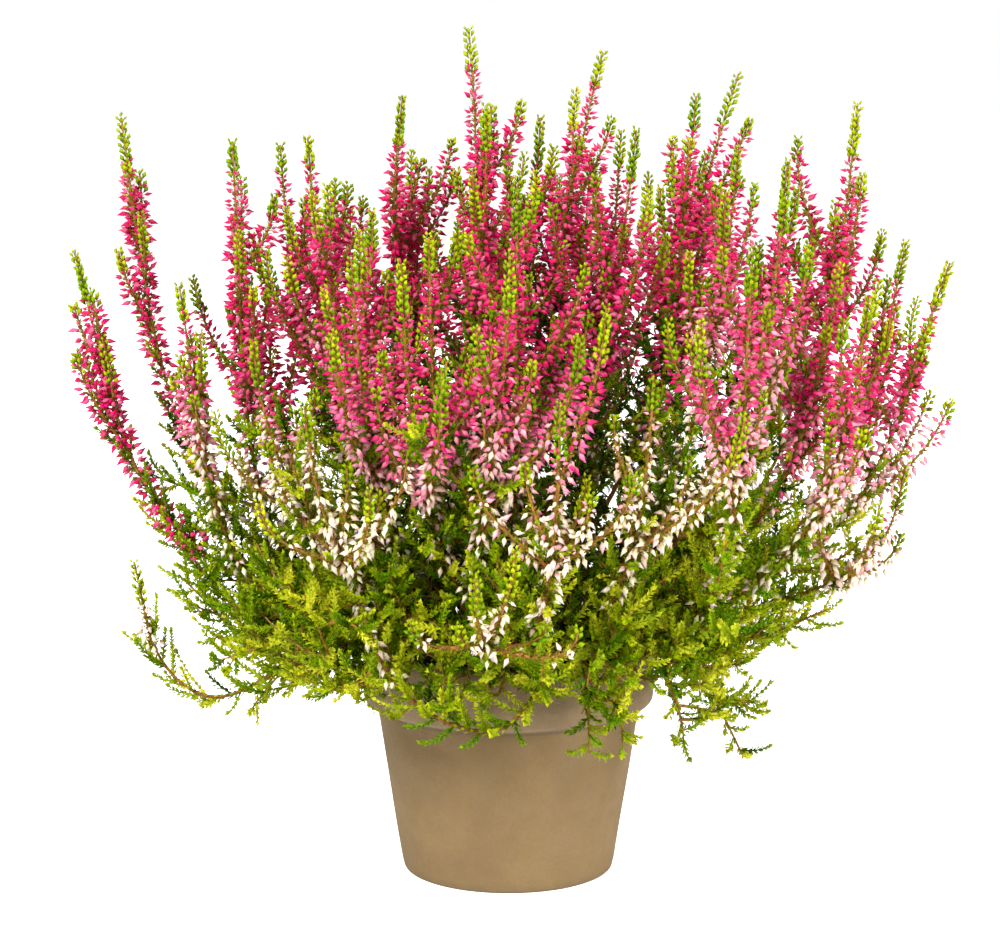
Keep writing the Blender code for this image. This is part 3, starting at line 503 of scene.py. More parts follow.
# Blooms that stand up: length of the bloom, lean of its top in degrees away from the middle,
# then the places of its tips. The first tip is the leading spike's.
BLOOMS = (
    (140, 7, (-157, 20, 307), (-148, 6, 268)),
    (110, 14, (-171, -20, 255), (-160, -26, 222)),
    (92, 8, (-127, -45, 244), (-118, -58, 227)),
    (122, 2, (-110, 0, 298), (-106, -20, 263)),
    (112, 3, (-95, 50, 295), (-106, 34, 259)),
    (116, 4, (-81, 12, 299), (-88, -8, 272), (-96, -16, 256)),
    (106, 3, (-71, -25, 282), (-75, -42, 279), (-86, -36, 254)),
    (104, 5, (-58, -95, 258), (-64, -112, 233)),
    (100, 3, (-57, -55, 266), (-53, -32, 272), (-70, -64, 244)),
    (122, -8, (-43, 25, 315), (-56, 4, 262)),
    (100, 2, (-41, 70, 292), (-33, 52, 285)),
    (104, 4, (-39, -115, 258), (-24, -138, 222)),
    (104, 3, (-30, -78, 265), (-20, -60, 265)),
    (134, 6, (-16, 5, 342), (-6, 18, 302)),
    (112, 3, (-9, -22, 312), (-14, -36, 288)),
    (118, 0, (0, -115, 262), (-12, -126, 236)),
    (108, 4, (3, -75, 282), (10, -54, 288)),
    (104, 2, (0, 50, 294), (-14, 42, 276)),
    (112, 4, (13, 15, 307), (18, -4, 296)),
    (126, 15, (38, 15, 333), (28, 30, 318)),
    (108, 6, (50, -20, 303), (53, -52, 280), (61, -36, 262)),
    (104, 5, (47, 46, 301), (36, 58, 286)),
    (114, 5, (74, -10, 316), (66, 10, 293), (60, -14, 280)),
    (124, 20, (95, 40, 324), (82, 34, 292)),
    (110, 4, (88, -40, 296), (82, -60, 282), (68, -66, 258)),
    (104, 5, (112, 5, 290), (113, -20, 280)),
    (112, 6, (103, -75, 280), (110, -94, 262)),
    (92, 8, (128, 50, 264), (136, 36, 252)),
    (116, 4, (140, 10, 312), (134, 26, 272), (149, -4, 262)),
    (96, 7, (128, -40, 252), (141, -56, 247), (148, -40, 230)),
    (98, 11, (163, 25, 256), (172, 12, 226), (154, 10, 242)),
    (116, 19, (174, -20, 251), (164, -34, 228), (163, -10, 236)),
    (100, 7, (134, -82, 243), (122, -104, 237)),
    (114, 5, (88, -110, 263), (68, -128, 238), (58, -102, 236)),
    (74, 6, (18, -140, 210), (34, -136, 244)),
    (82, 6, (52, -120, 217), (84, -132, 206)),
    (50, 6, (-12, -146, 150), (2, -140, 158)),
    (84, 5, (-96, -78, 226), (-110, -84, 200)),
    (78, 6, (-74, -118, 207), (-50, -134, 178)),
    (66, 8, (153, -55, 176), (140, -78, 164)),
    (100, 8, (-118, 84, 262), (-134, 66, 238)),
    (104, 7, (-72, 108, 268), (-88, 92, 250)),
    (106, 6, (-20, 118, 276), (-34, 136, 246)),
    (110, 6, (36, 100, 290), (22, 86, 280)),
    (104, 8, (88, 100, 278), (74, 84, 280)),
    (94, 10, (134, 88, 256), (146, 66, 242)),
    (86, 12, (44, 150, 236), (66, 142, 228)),
)

# Sprays that droop over the rim before they turn up into a small bloom: the bloom's length,
# then the route from the rim to the tip
DROOPING_BLOOMS = (
    (38, (-66, -9, 105), (-95, -12, 83), (-121, -15, 74), (-141, -18, 92), (-150, -20, 131)),
    (54, (14, -62, 103), (10, -78, 90), (-5, -83, 77), (-28, -85, 83), (-48, -85, 104),
     (-62, -80, 144)),
)

# Leafy twigs that hang over the rim and bear no buds, each from the rim to its tip
TWIGS = (
    ((60, -3, 105), (75, -6, 88), (86, -9, 68), (95, -14, 50)),
    ((50, -42, 104), (62, -46, 88), (68, -42, 72), (70, -36, 58)),
    ((34, -58, 104), (42, -69, 88), (44, -72, 68)),
    ((26, -60, 104), (30, -70, 89), (31, -73, 66)),
    ((-58, -28, 104), (-78, -34, 87), (-98, -32, 80)),
    ((-46, 46, 105), (-60, 60, 88), (-68, 66, 68)),
    ((10, 64, 105), (16, 78, 88), (20, 84, 68)),
    ((50, 44, 105), (64, 56, 90), (72, 64, 74)),
)


def vector(*numbers):
    return np.array(numbers, float)


def unit(arrows):
    return arrows / np.maximum(np.linalg.norm(arrows, axis=-1, keepdims=True), 1e-9)


def between(ends, share):
    return ends[0] + (ends[1] - ends[0]) * share


def share_of(ends, value):
    """Where a value lies between two ends, from 0 to 1."""
    return float(np.clip((value - ends[0]) / (ends[1] - ends[0]), 0, 1))


def smooth_route(points, step=3.0):
    """A smooth curve through given points."""
    ends = [points[0] * 2 - points[1], *points, points[-1] * 2 - points[-2]]
    route = []
    for before, start, stop, after in zip(ends, ends[1:], ends[2:], ends[3:]):
        count = max(2, round(np.linalg.norm(stop - start) / step))
        for t in np.arange(count) / count:
            route.append(0.5 * (2 * start + (stop - before) * t
                                + (2 * before - 5 * start + 4 * stop - after) * t ** 2
                                + (3 * start - before - 3 * stop + after) * t ** 3))
    return np.array(route + [points[-1]])


def bent_route(start, pull, push, end, count=48):
    """A cubic Bezier curve."""
    t = np.linspace(0, 1, count + 1)[:, None]
    return (start * (1 - t) ** 3 + pull * (3 * t * (1 - t) ** 2) + push * (3 * t ** 2 * (1 - t))
            + end * t ** 3)


def curled_route(start, middle, end, count, bend=(0.4, 0.6)):
    """A short curve from start to end, bent towards a middle point."""
    pull = start * bend[0] + middle * bend[1]
    push = end * bend[0] + middle * bend[1]
    return bent_route(start, pull, push, end, count)


def distances_of(route):
    return np.concatenate([[0.0], np.cumsum(np.linalg.norm(np.diff(route, axis=0), axis=1))])


def walk(route, distances):
    """The places and headings at some distances along a route."""
    marks = distances_of(route)
    distances = np.atleast_1d(distances)
    places = np.stack([np.interp(distances, marks, route[:, k]) for k in range(3)], axis=1)
    ahead = np.stack([np.interp(distances + 1.0, marks, route[:, k]) for k in range(3)], axis=1)
    behind = np.stack([np.interp(distances - 1.0, marks, route[:, k]) for k in range(3)], axis=1)
    return places, unit(ahead - behind)


def place_on(route, distance):
    return walk(route, distance)[0][0]


def part_of(route, start, stop, step=3.0):
    return walk(route, np.linspace(start, stop, max(3, round((stop - start) / step) + 1)))[0]


def sector_of(place):
    """0 for the middle stock, or the number of the sector that a place lies over."""
    if math.hypot(place[0], place[1]) < CENTRE_REACH:
        return 0
    turn = math.atan2(place[1], place[0]) / (math.tau / SECTORS)
    return 1 + round(turn) % SECTORS


def stock_place(sector):
    if sector == 0:
        return vector(0, 0, 0)
    angle = math.tau * (sector - 1) / SECTORS
    return vector(math.cos(angle), math.sin(angle), 0) * STOCK_CIRCLE_RADIUS


def leaning(tip, lean):
    """Upright, but leaning away from the middle of the plant by some degrees."""
    away = unit(vector(tip[0], tip[1], 0))
    return away * math.sin(math.radians(lean)) + vector(0, 0, math.cos(math.radians(lean)))


def far_share(tip):
    """0 to 1 for tips farther and farther out, whose stems run out lower before they turn up."""
    return share_of(FAR_REACH, math.hypot(tip[0], tip[1]))


def standing_route(tip, lean):
    """From its stock a stem sweeps outward over the rim, then turns up to its tip."""
    sector = sector_of(tip)
    stock = stock_place(sector)
    out = vector(tip[0] - stock[0], tip[1] - stock[1], 0)
    start = stock + vector(0, 0, ROOT_Z) + out * (ROOT_OFFSET / max(np.linalg.norm(out), ROOT_OFFSET))
    rise = tip[2] - start[2]
    far = far_share(tip)
    sweep = SWEEP + FAR_SWEEP_MORE * far if sector else CENTRE_SWEEP
    lift = max(between(LEAST_PULL, far), rise * (PULL_SHARE - FAR_PULL_LESS * far))
    pull = start + out * sweep + vector(0, 0, lift)
    return bent_route(start, pull, tip - leaning(tip, lean) * rise * UPRIGHT_SHARE, tip)


def forked_route(parent, fork, tip, lean):
    """A stem that leaves an earlier one at a fork and follows the same sweep to its own tip."""
    starts, headings = walk(parent, fork)
    start, heading = starts[0], headings[0]
    out = vector(tip[0] - start[0], tip[1] - start[1], 0)
    leave = heading * np.linalg.norm(tip - start) * FORK_LEAVE_SHARE
    pull = start + leave + out * (FORK_SWEEP + FAR_FORK_MORE * far_share(tip))
    return bent_route(start, pull, tip - leaning(tip, lean) * (tip[2] - start[2]) * UPRIGHT_SHARE, tip)


def side_route(leader, fork, tip, lean):
    """A side spike leaves the leading stem at a fork and turns up beside it."""
    starts, headings = walk(leader, fork)
    rise = np.linalg.norm(tip - starts[0])
    return bent_route(starts[0], starts[0] + headings[0] * rise * SIDE_LEAVE_SHARE,
                      tip - leaning(tip, lean) * rise * SIDE_UPRIGHT_SHARE, tip, 24)


def drooping_route(points):
    """From its stock over the rim, then down through given points."""
    stock = stock_place(sector_of(points[0]))
    return smooth_route([stock + vector(0, 0, ROOT_Z), *points])


def clears_pot(route, girth):
    """Whether a route stays above the peat and off the rim."""
    out = np.hypot(route[:, 0], route[:, 1])
    beside = (out < RIM_RADIUS + girth) & (route[:, 2] < RIM_TOP_Z + girth)
    inside = (out < RIM_RADIUS - WALL - girth - 2) & (route[:, 2] > PEAT_TOP_Z + girth)
    return not np.any(beside & ~inside)


class Template:
    """A small shape along its own Z, stamped many times. Along is 0 at its root."""

    def __init__(self, places, faces):
        self.places = np.array(places, float)
        self.faces = np.array(faces)
        self.along = self.places[:, 2]


def turned_template(rings, sides):
    """A template turned from rings of (radius, z), in triangles."""
    places, loops = ring_places(rings, sides)
    faces = []
    for low, high in zip(loops, loops[1:]):
        for side in range(sides):
            after = (side + 1) % sides
            if low[side] != low[after]:
                faces.append((low[side], low[after], high[side]))
            if high[side] != high[after]:
                faces.append((low[after], high[after], high[side]))
    return Template(places, faces)


# A scale leaf is folded along its keel; a plump young one is a blunt knob
LEAF = Template(((0, 0, 0), (-0.5, 0.2, 0.42), (0.5, 0.2, 0.42), (0, 0, 1)), ((0, 3, 1), (0, 2, 3)))
YOUNG_LEAF = turned_template(((0, 0.0), (0.5, 0.62), (0, 1.0)), 3)


def not_along(heading):
    """X, or Y where the heading itself runs nearly along X."""
    return vector(1, 0, 0) if abs(heading[0]) < 0.7 else vector(0, 1, 0)


class Growth:
    """Gathers the stems, leaves and buds of one piece, then makes one mesh of them."""

    def __init__(self):
        self.places = []
        self.faces = []
        self.along = []
        self.tone = []
        self.vary = []
        self.kinds = []
        self.count = 0

    def add(self, places, faces, kind, along, tone, vary):
        self.places.append(places)
        self.faces.append(faces + self.count)
        self.along.append(along)
        self.tone.append(tone)
        self.vary.append(vary)
        self.kinds.append(np.full(len(faces), kind))
        self.count += len(places)

    def stamp(self, template, roots, headings, sides, lengths, widths, kind, tone, vary):
        """Copies of a template from their roots along their headings."""
        across = np.cross(headings, sides)
        flat = template.places
        places = (roots[:, None]
                  + sides[:, None] * (flat[None, :, :1] * widths[:, None, None])
                  + across[:, None] * (flat[None, :, 1:2] * widths[:, None, None])
                  + headings[:, None] * (flat[None, :, 2:] * lengths[:, None, None]))
        copies = len(roots)
        each = len(flat)
        faces = template.faces[None] + np.arange(copies)[:, None, None] * each
        self.add(places.reshape(-1, 3), faces.reshape(-1, 3), kind, np.tile(template.along, copies),
                 np.repeat(tone, each), np.repeat(vary, each))

    def tube(self, route, radii, sides, kind, tone, vary):
        """A stem along a route, rounded off at both ends."""
        count = len(route)
        headings = unit(np.gradient(route, axis=0))
        square = np.cross(headings[0], headings[-1])
        if np.linalg.norm(square) < 0.15:
            square = np.cross(headings[0], not_along(headings[0]))
        side = unit(square - headings * (headings @ square)[:, None])
        across = np.cross(headings, side)
        angles = (math.tau * np.arange(sides) / sides)[None, :, None]
        ring = side[:, None] * np.cos(angles) + across[:, None] * np.sin(angles)
        foot = route[:1] - headings[:1] * radii[0]
        top = route[-1:] + headings[-1:] * radii[-1]
        places = np.vstack([(route[:, None] + ring * radii[:, None, None]).reshape(-1, 3), foot, top])
        here = np.arange(sides)
        after = (here + 1) % sides
        rows = np.arange(count - 1)[:, None] * sides
        low, low_after = (rows + here).ravel(), (rows + after).ravel()
        end = (count - 1) * sides
        foot_number, top_number = np.full(sides, count * sides), np.full(sides, count * sides + 1)
        faces = np.vstack([np.stack(corners, 1) for corners in (
            (low, low_after, low + sides), (low_after, low_after + sides, low + sides),
            (after, here, foot_number), (end + here, end + after, top_number))])
        along = np.append(np.repeat(np.linspace(0, 1, count), sides), [0.0, 1.0])
        self.add(places, faces, kind, along, np.full(len(places), tone), np.full(len(places), vary))

    def finished(self, name, materials):
        """The gathered shapes as one smooth mesh, with what its materials read at each point."""
        places = np.concatenate(self.places) * MM
        faces = np.concatenate(self.faces)
        mesh = bpy.data.meshes.new(name)
        mesh.vertices.add(len(places))
        mesh.vertices.foreach_set("co", places.astype(np.float32).ravel())
        mesh.loops.add(len(faces) * 3)
        mesh.loops.foreach_set("vertex_index", faces.astype(np.int32).ravel())
        mesh.polygons.add(len(faces))
        mesh.polygons.foreach_set("loop_start", np.arange(len(faces), dtype=np.int32) * 3)
        for material in materials:
            mesh.materials.append(material)
        mesh.polygons.foreach_set("material_index", np.concatenate(self.kinds).astype(np.int32))
        mesh.update(calc_edges=True)
        mesh.shade_smooth()
        for word, values in (("along", self.along), ("tone", self.tone), ("vary", self.vary)):
            layer = mesh.attributes.new(word, "FLOAT", "POINT")
            layer.data.foreach_set("value", np.concatenate(values).astype(np.float32))
        made = bpy.data.objects.new(name, mesh)
        bpy.context.scene.collection.objects.link(made)
        return made


# The order of a piece's materials
BARK_KIND, LEAF_KIND, BUD_KIND = range(3)


def square_to(headings, turns):
    """For each heading a direction square to it, turned about it by an angle."""
    helper = not_along(unit(headings.mean(axis=0)))
    side = unit(helper - headings * (headings @ helper)[:, None])
    across = np.cross(headings, side)
    return side * np.cos(turns)[:, None] + across * np.sin(turns)[:, None]


def clad_in_leaves(piece, route, start, stop, step, leaf_size, tone, draw, offset=0.3,
                   kind=LEAF_KIND, leaf_shape=LEAF):
    """Four rows of scale leaves up a stretch of a route, in crossed pairs."""
    leaf_length, leaf_width, spread = leaf_size
    distances = np.repeat(np.arange(start, stop, step), 2)
    if len(distances) == 0:
        return
    count = len(distances)
    distances = distances + draw.uniform(-0.15, 0.15, count) * step
    places, headings = walk(route, distances)
    pair = np.arange(count) // 2
    turns = draw.uniform(0, math.tau) + (pair % 2) * (math.pi / 2) + (np.arange(count) % 2) * math.pi
    turns = turns + draw.normal(0, 0.2, count)
    outward = square_to(headings, turns)
    angle = np.radians(spread + draw.normal(0, LEAF_AIM_SCATTER, count))[:, None]
    aims = headings * np.cos(angle) + outward * np.sin(angle)
    faces_up = np.cross(aims, outward)
    sides = unit(np.where(np.linalg.norm(faces_up, axis=1, keepdims=True) > 0.1, faces_up, outward))
    share = (distances - start) / max(stop - start, 1e-6)
    ending = 1 - LAST_LEAF_LESS * np.clip(share, 0, 1) ** 3
    lengths = leaf_length * ending * draw.uniform(0.8, 1.15, count)
    widths = leaf_width * ending * draw.uniform(0.85, 1.15, count)
    tones = np.clip(tone + 0.14 * share + draw.normal(0, 0.06, count), 0, 1)
    piece.stamp(leaf_shape, places + outward * offset, aims, sides, lengths, widths, kind, tones,
                draw.uniform(0, 1, count))


def leaf_tone(place, draw):
    """How yellow and fresh the leaves are: painted dark as shade inside the bush, bright on its outside,
    in clumps.
    """
    # Leaves near the middle are painted dark as shade
    out_of_shade = share_of(LEAF_SHADE_REACH, math.hypot(place[0], place[1]))
    low = share_of(LOW_LEAF_Z, place[2])
    clump = math.sin(place[0] * 0.11 + place[2] * 0.05) * math.sin(place[2] * 0.13 + place[1] * 0.07)
    tone = LEAST_TONE + OUT_OF_SHADE_TONE * out_of_shade + LOW_TONE * low + CLUMP_TONE * clump
    return float(np.clip(tone + draw.normal(0, TONE_SCATTER), 0.02, 0.98))


def leafy_shoot(piece, start, aim, length, tone, draw):
    """A short side shoot that curves up, with its scale leaves."""
    end = start + aim * length * 0.9 + vector(0, 0, length * 0.3)
    route = curled_route(start, start + aim * length * 0.55, end, 6, (0.33, 0.67))
    if not clears_pot(route[2:], 1.2):
        return
    course = route[::2]
    piece.tube(course, np.linspace(*SHOOT_RADII, len(course)), 3, LEAF_KIND, 0.8 * tone, draw.random())
    stop = distances_of(route)[-1]
    clad_in_leaves(piece, route, 0.8, stop - 0.3, SHOOT_LEAF_STEP, SHOOT_LEAF, tone, draw)
    clad_in_leaves(piece, route, stop - 1.6, stop, SHOOT_TIP_LEAF_STEP, SHOOT_TIP_LEAF,
                   min(1.0, tone + 0.2), draw, offset=0.1)


def shoots_along(piece, route, start, stop, step, lengths, draw, lift=0.55):
    """Side shoots all the way up a stretch of a stem."""
    distances = np.arange(start, stop, step)
    if len(distances) == 0:
        return
    distances = distances + draw.uniform(-0.4, 0.4, len(distances)) * step
    places, headings = walk(route, distances)
    turns = draw.uniform(0, math.tau) + np.arange(len(distances)) * SHOOT_TURN
    turns = turns + draw.normal(0, 0.4, len(distances))
    outward = square_to(headings, turns)
    for place, heading, out in zip(places, headings, outward):
        away = unit(vector(place[0], place[1], 0))
        aim = unit(out + heading * draw.uniform(0.35, 0.95) * lift / 0.55 + away * 0.35)
        leafy_shoot(piece, place, aim, draw.uniform(*lengths), leaf_tone(place + aim * 10, draw), draw)


def woody_stem(piece, route, radii, young, draw):
    """A wiry stem, a little knobbly where old leaves have dropped."""
    length = distances_of(route)[-1]
    course = part_of(route, 0, length, 4.0)
    radii = np.linspace(*radii, len(course)) * draw.uniform(0.88, 1.14, len(course))
    course = course + draw.normal(0, 0.12, course.shape) * np.linspace(1, 0.3, len(course))[:, None]
    piece.tube(course, radii, STEM_SIDES, BARK_KIND, young, draw.random())


def side_start(stem, distance, draw):
    """A place on a stem, its heading there, and a random direction square to it."""
    starts, headings = walk(stem, distance)
    return starts[0], headings[0], square_to(headings, draw.uniform(0, math.tau, 1))[0]


def leafy_spray(piece, stem, distance, lengths, draw):
    """A small leafy branch that spreads out low down and hides the rim."""
    start, heading, turned_out = side_start(stem, distance, draw)
    away = unit(vector(start[0], start[1], 0))
    length = draw.uniform(*lengths)
    aim = unit(turned_out * 0.7 + heading * 0.5 + away * 0.7)
    end = start + aim * length * 0.85 + vector(0, 0, length * draw.uniform(-0.15, 0.42))
    spray = curled_route(start, start + aim * length * 0.5, end, 16)
    if not clears_pot(spray[2:], 1.5):
        return
    woody_stem(piece, spray, SPRAY_RADII, 0.45, draw)
    shoots_along(piece, spray, 5, length, SPRAY_SHOOT_STEP, SPRAY_SHOOT_LENGTH, draw)
    clad_in_leaves(piece, spray, 4, length, SPRAY_LEAF_STEP, SPRAY_LEAF, 0.6, draw, offset=0.4)


def skirt_route(number):
    """A low branch that leans out over the rim, sags and turns up, and the sector of its stock."""
    reach_share, low_share, rise_share, aside_share = (number * share % 1 for share in SKIRT_SHARES)
    turn = number * math.tau * GOLDEN
    out = vector(math.cos(turn), math.sin(turn), 0)
    aside = vector(-out[1], out[0], 0) * (2 * aside_share - 1)
    reach = between(SKIRT_REACH, rise_share) + SKIRT_EXTRA_WIDTH * abs(out[0]) ** 1.5 * reach_share
    low = between(SKIRT_LOW_Z, low_share)
    over = out * SKIRT_OVER_RIM + vector(0, 0, between(SKIRT_OVER_RIM_Z, aside_share))
    sector = sector_of(over)
    root_z = ROOT_Z + SKIRT_ROOT_SPREAD * (aside_share - 0.5)
    start = stock_place(sector) + out * ROOT_OFFSET + vector(0, 0, root_z)
    middle = out * (SKIRT_OVER_RIM + reach) / 2 + aside * SKIRT_ASIDE / 2 + vector(0, 0, low)
    end = out * reach + aside * SKIRT_ASIDE + vector(0, 0, low + between(SKIRT_RISE, rise_share))
    return sector, smooth_route([start, over, middle, end])


def skirt_branch(piece, route, draw):
    """The low branch itself, with twiglets and shoots all along it."""
    length = distances_of(route)[-1]
    woody_stem(piece, route, SKIRT_RADII, 0.4, draw)
    shoots_along(piece, route, 34, length, SKIRT_SHOOT_STEP, SKIRT_SHOOT_LENGTH, draw)
    clad_in_leaves(piece, route, 38, length, STEM_LEAF_STEP, SKIRT_LEAF, 0.55, draw, offset=0.4)
    for distance in np.arange(44, length - 12, TWIGLET_STEP) + draw.uniform(-4, 4):
        twiglet(piece, route, distance, draw)


def twiglet(piece, branch, distance, draw):
    """A small side twig of a low branch, with its own shoots."""
    start, heading, turned_out = side_start(branch, distance, draw)
    length = draw.uniform(*TWIGLET_LENGTH)
    aim = unit(turned_out + heading * 0.6)
    end = start + aim * length * 0.9 + vector(0, 0, length * draw.uniform(*TWIGLET_LIFT))
    route = curled_route(start, start + aim * length * 0.5, end, 10)
    if clears_pot(route[2:], 1.5):
        woody_stem(piece, route, TWIGLET_RADII, 0.5, draw)
        shoots_along(piece, route, 4, length, SKIRT_SHOOT_STEP, TWIGLET_SHOOT_LENGTH, draw)


def old_shoots(piece, stem, start, stop, draw):
    """The old growth deep in the bush, which fills the room between the stems, its leaves painted nearly
    black as shade.
    """
    distances = np.arange(start, stop, INNER_STEP)
    places, headings = walk(stem, distances)
    outward = square_to(headings, draw.uniform(0, math.tau, len(distances)))
    for place, heading, out in zip(places, headings, outward):
        inward = -unit(vector(place[0], place[1], 0))
        length = draw.uniform(*INNER_LENGTH)
        aim = unit(out + inward * 0.5 + heading * 0.3 + vector(0, 0, 0.35))
        end = place + aim * length
        if math.hypot(end[0], end[1]) > INNER_REACH or end[2] < INNER_ABOVE_Z:
            continue
        route = bent_route(place, place + aim * length * 0.33, end - vector(0, 0, length * 0.2), end, 5)
        piece.tube(route, np.linspace(0.5, 0.3, len(route)), 3, BARK_KIND, 0.1, draw.random())
        # Its old leaves are dark, painted nearly black as shade between the stems
        clad_in_leaves(piece, route, 1.0, length, INNER_LEAF_STEP, INNER_LEAF, INNER_SHADE_TONE, draw)


def stored(tree, word):
    """A value that the mesh stores at each point."""
    return add_node(tree, "ShaderNodeAttribute", attribute_name=word).outputs["Fac"]


def weathered_bark():
    """Brown on the old wood, orange-brown to green on the young stems."""
    material, tree, shader = new_material("weathered_bark", 0.7)
    ages = colour_ramp(tree, stored(tree, "tone"), *BARK_AGES)
    flecks = mottled(tree, 620.0, 4.0, 0.42, 0.62)
    bark = mix_colours(tree, mapped(tree, flecks, 0.0, 1.0, 0.40, 0.0), ages, BARK_FLECKS)
    shader.inputs["Specular IOR Level"].default_value = 0.1
    tree.links.new(bark, shader.inputs["Base Color"])
    surface_bump(tree, shader, 0.5, 0.0004, flecks)
    return material


def scale_leaf():
    """Painted dark as shade inside the bush to bright yellow-green at the young tips, some clumps a
    deeper green.
    """
    material, tree, shader = new_material("scale_leaf", 0.55)
    tone, vary, along = [stored(tree, word) for word in ("tone", "vary", "along")]
    # The tone carries the leaves' age and the painted shade inside the bush
    ages = colour_ramp(tree, tone, *LEAF_AGE_AND_SHADE_TONES)
    green = mix_colours(tree, mapped(tree, vary, 0.0, 1.0, 0.0, 0.25), ages, DULL_LEAF)
    clumps = mottled(tree, 52.0, 2.0, 0.44, 0.58)
    green = mix_colours(tree, clumps, green, mix_colours(tree, 0.5, green, DEEP_GREEN))
    green = mix_colours(tree, mapped(tree, along, 0.5, 1.0, 0.0, 0.16), green, LEAF_POINT)
    veins = mottled(tree, 1500.0, 2.0, 0.3, 0.7)
    green = mix_colours(tree, mapped(tree, veins, 0.0, 1.0, 0.12, 0.0), green, LEAF_VEIN)
    shader.inputs["Specular IOR Level"].default_value = 0.03
    tree.links.new(green, shader.inputs["Base Color"])
    surface_bump(tree, shader, 0.3, 0.0002, veins)
    return material


bark = weathered_bark()
leaf = scale_leaf()
leafy_pieces = {sector: Growth() for sector in range(SECTORS + 1)}
growth_draw = np.random.default_rng(GROWTH_SEED)

bloom_routes = []
parents = {sector: [] for sector in range(SECTORS + 1)}
for number, (bloom_length, lean, *tips) in enumerate(BLOOMS, 1):
    tips = [vector(*tip) for tip in tips]
    sector = sector_of(tips[0])
    near = [route for route in parents[sector] if np.linalg.norm(route[-1] - tips[0]) < FORK_WITHIN]
    if near:
        route = forked_route(near[0], between(FORK_DISTANCE, number * GOLDEN % 1), tips[0], lean)
    else:
        route = standing_route(tips[0], lean)
        parents[sector].append(route)
    bloom_routes.append((sector, route, bloom_length, lean, tips[1:]))
for bloom_length, *points in DROOPING_BLOOMS:
    points = [vector(*point) for point in points]
    bloom_routes.append((sector_of(points[0]), drooping_route(points), bloom_length, 0, []))

for sector, route, bloom_length, lean, side_tips in bloom_routes:
    piece = leafy_pieces[sector]
    joint = distances_of(route)[-1] - bloom_length
    woody_stem(piece, part_of(route, 0, joint + 1), STEM_RADII, 0.3, growth_draw)
    shoot_step = SHOOT_STEP if side_tips else DROOPING_SHOOT_STEP
    shoots_along(piece, route, BARE_STEM, joint + 4, shoot_step, SHOOT_LENGTH, growth_draw)
    clad_in_leaves(piece, route, BARE_STEM + 8, joint, STEM_LEAF_STEP, STEM_LEAF, 0.62, growth_draw,
                   offset=0.8)
    for _ in range(SPRAY_COUNT):
        leafy_spray(piece, route, growth_draw.uniform(*SPRAY_START), SPRAY_LENGTH, growth_draw)
    if side_tips:
        old_shoots(piece, route, 14, min(joint + 30, 150), growth_draw)

for points in TWIGS:
    points = [vector(*point) for point in points]
    piece = leafy_pieces[sector_of(points[0])]
    route = drooping_route(points)
    length = distances_of(route)[-1]
    woody_stem(piece, route, TWIG_RADII, 0.35, growth_draw)
    shoots_along(piece, route, 32, length, TWIG_SHOOT_STEP, TWIG_SHOOT_LENGTH, growth_draw)
    clad_in_leaves(piece, route, 34, length, SPRAY_LEAF_STEP, TWIG_LEAF, 0.5, growth_draw, offset=0.5)
    for _ in range(TWIG_SPRAYS):
        leafy_spray(piece, route, growth_draw.uniform(26, length - 14), TWIG_SPRAY_LENGTH, growth_draw)

for number in range(SKIRT_COUNT):
    sector, route = skirt_route(number)
    skirt_branch(leafy_pieces[sector], route, growth_draw)

for sector, piece in leafy_pieces.items():
    stock = stock_place(sector)
    trunk = np.array([stock + vector(0, 0, z) for z in
                      np.linspace(PEAT_TOP_Z - STOCK_DEPTH, PEAT_TOP_Z + STOCK_HEIGHT, 10)])
    piece.tube(trunk, STOCK_RADIUS * growth_draw.uniform(0.85, 1.0, 10), 12, BARK_KIND, 0.05, 0.5)
    label = "centre" if sector == 0 else str(sector)
    made = piece.finished(f"leafy_stems_{label}", [bark, leaf])
    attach(made, "root")
    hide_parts(f"branches_{label}")


# Spikes of buds
# Each bloom is a leading spike with a few shorter ones beside it. The buds stand in whorls on
# short stalks and never open: crimson at the top, then pink, and creamy white with pink ends
# low down, where they hang. Every spike ends in a green tip of braided scale leaves.
SPIKE_RADII = (0.72, 0.4)
WHORL_STEP = 3.1
WHORL_BUDS = 5
WHORL_TURN = 0.8
WHITE_FULLNESS = 0.56
RIPE_FULLER = 0.42
BUD_SIZE = (5.0, 2.2)
BUD_SPREAD = 92
TIP_SPREAD_LESS = 34
DROOP = 45
BUD_AIM_SCATTER = 19
DROOPS_BELOW = 0.35
LEAST_STALK = 0.8
STALK_LENGTH = (0.2, 2.9)
STALK_SCATTER = 0.5
STALK_WIDTH = 0.55
BRACT_STEP = 2.0
BRACT = (3.3, 1.9, 46)
SPIKE_LEAF = (3.4, 1.7, 42)
YOUNG_LEAF_STEP = 1.4
YOUNG_LEAF_SIZE = (3.6, 2.2, 28)
YOUNG_TONE = (0.48, 0.72)
SPIKE_SHOOT_STEP = 5.5
SPIKE_SHOOT_LENGTH = (7.0, 14.0)
UNDER_JOINT = (20.0, 48.0)
BLOOM_SEED = 100
GREEN_TIP = (11.0, 22.0)
SHORT_GREEN_TIP = (3.0, 9.0)

# Further side spikes are added in rounds: the tries for each, the room that its tip needs, and its
# distance out from the leading spike and down. At the plant's far sides they keep close to their
# leading spike, at the left always and at the right in the late rounds.
EXTRA_ROUNDS = 5
EXTRA_TRIES = 40
EXTRA_ROOM = 6.5
EXTRA_OUT = (9.0, 38.0)
EXTRA_DROP = 14.0
EXTRA_SEED = 41
LATE_ROUND = 3
CLOSE_SPIKES_X = 118.0
CLOSE_ROOM = 4.0
CLOSE_OUT = (5.0, 10.0)

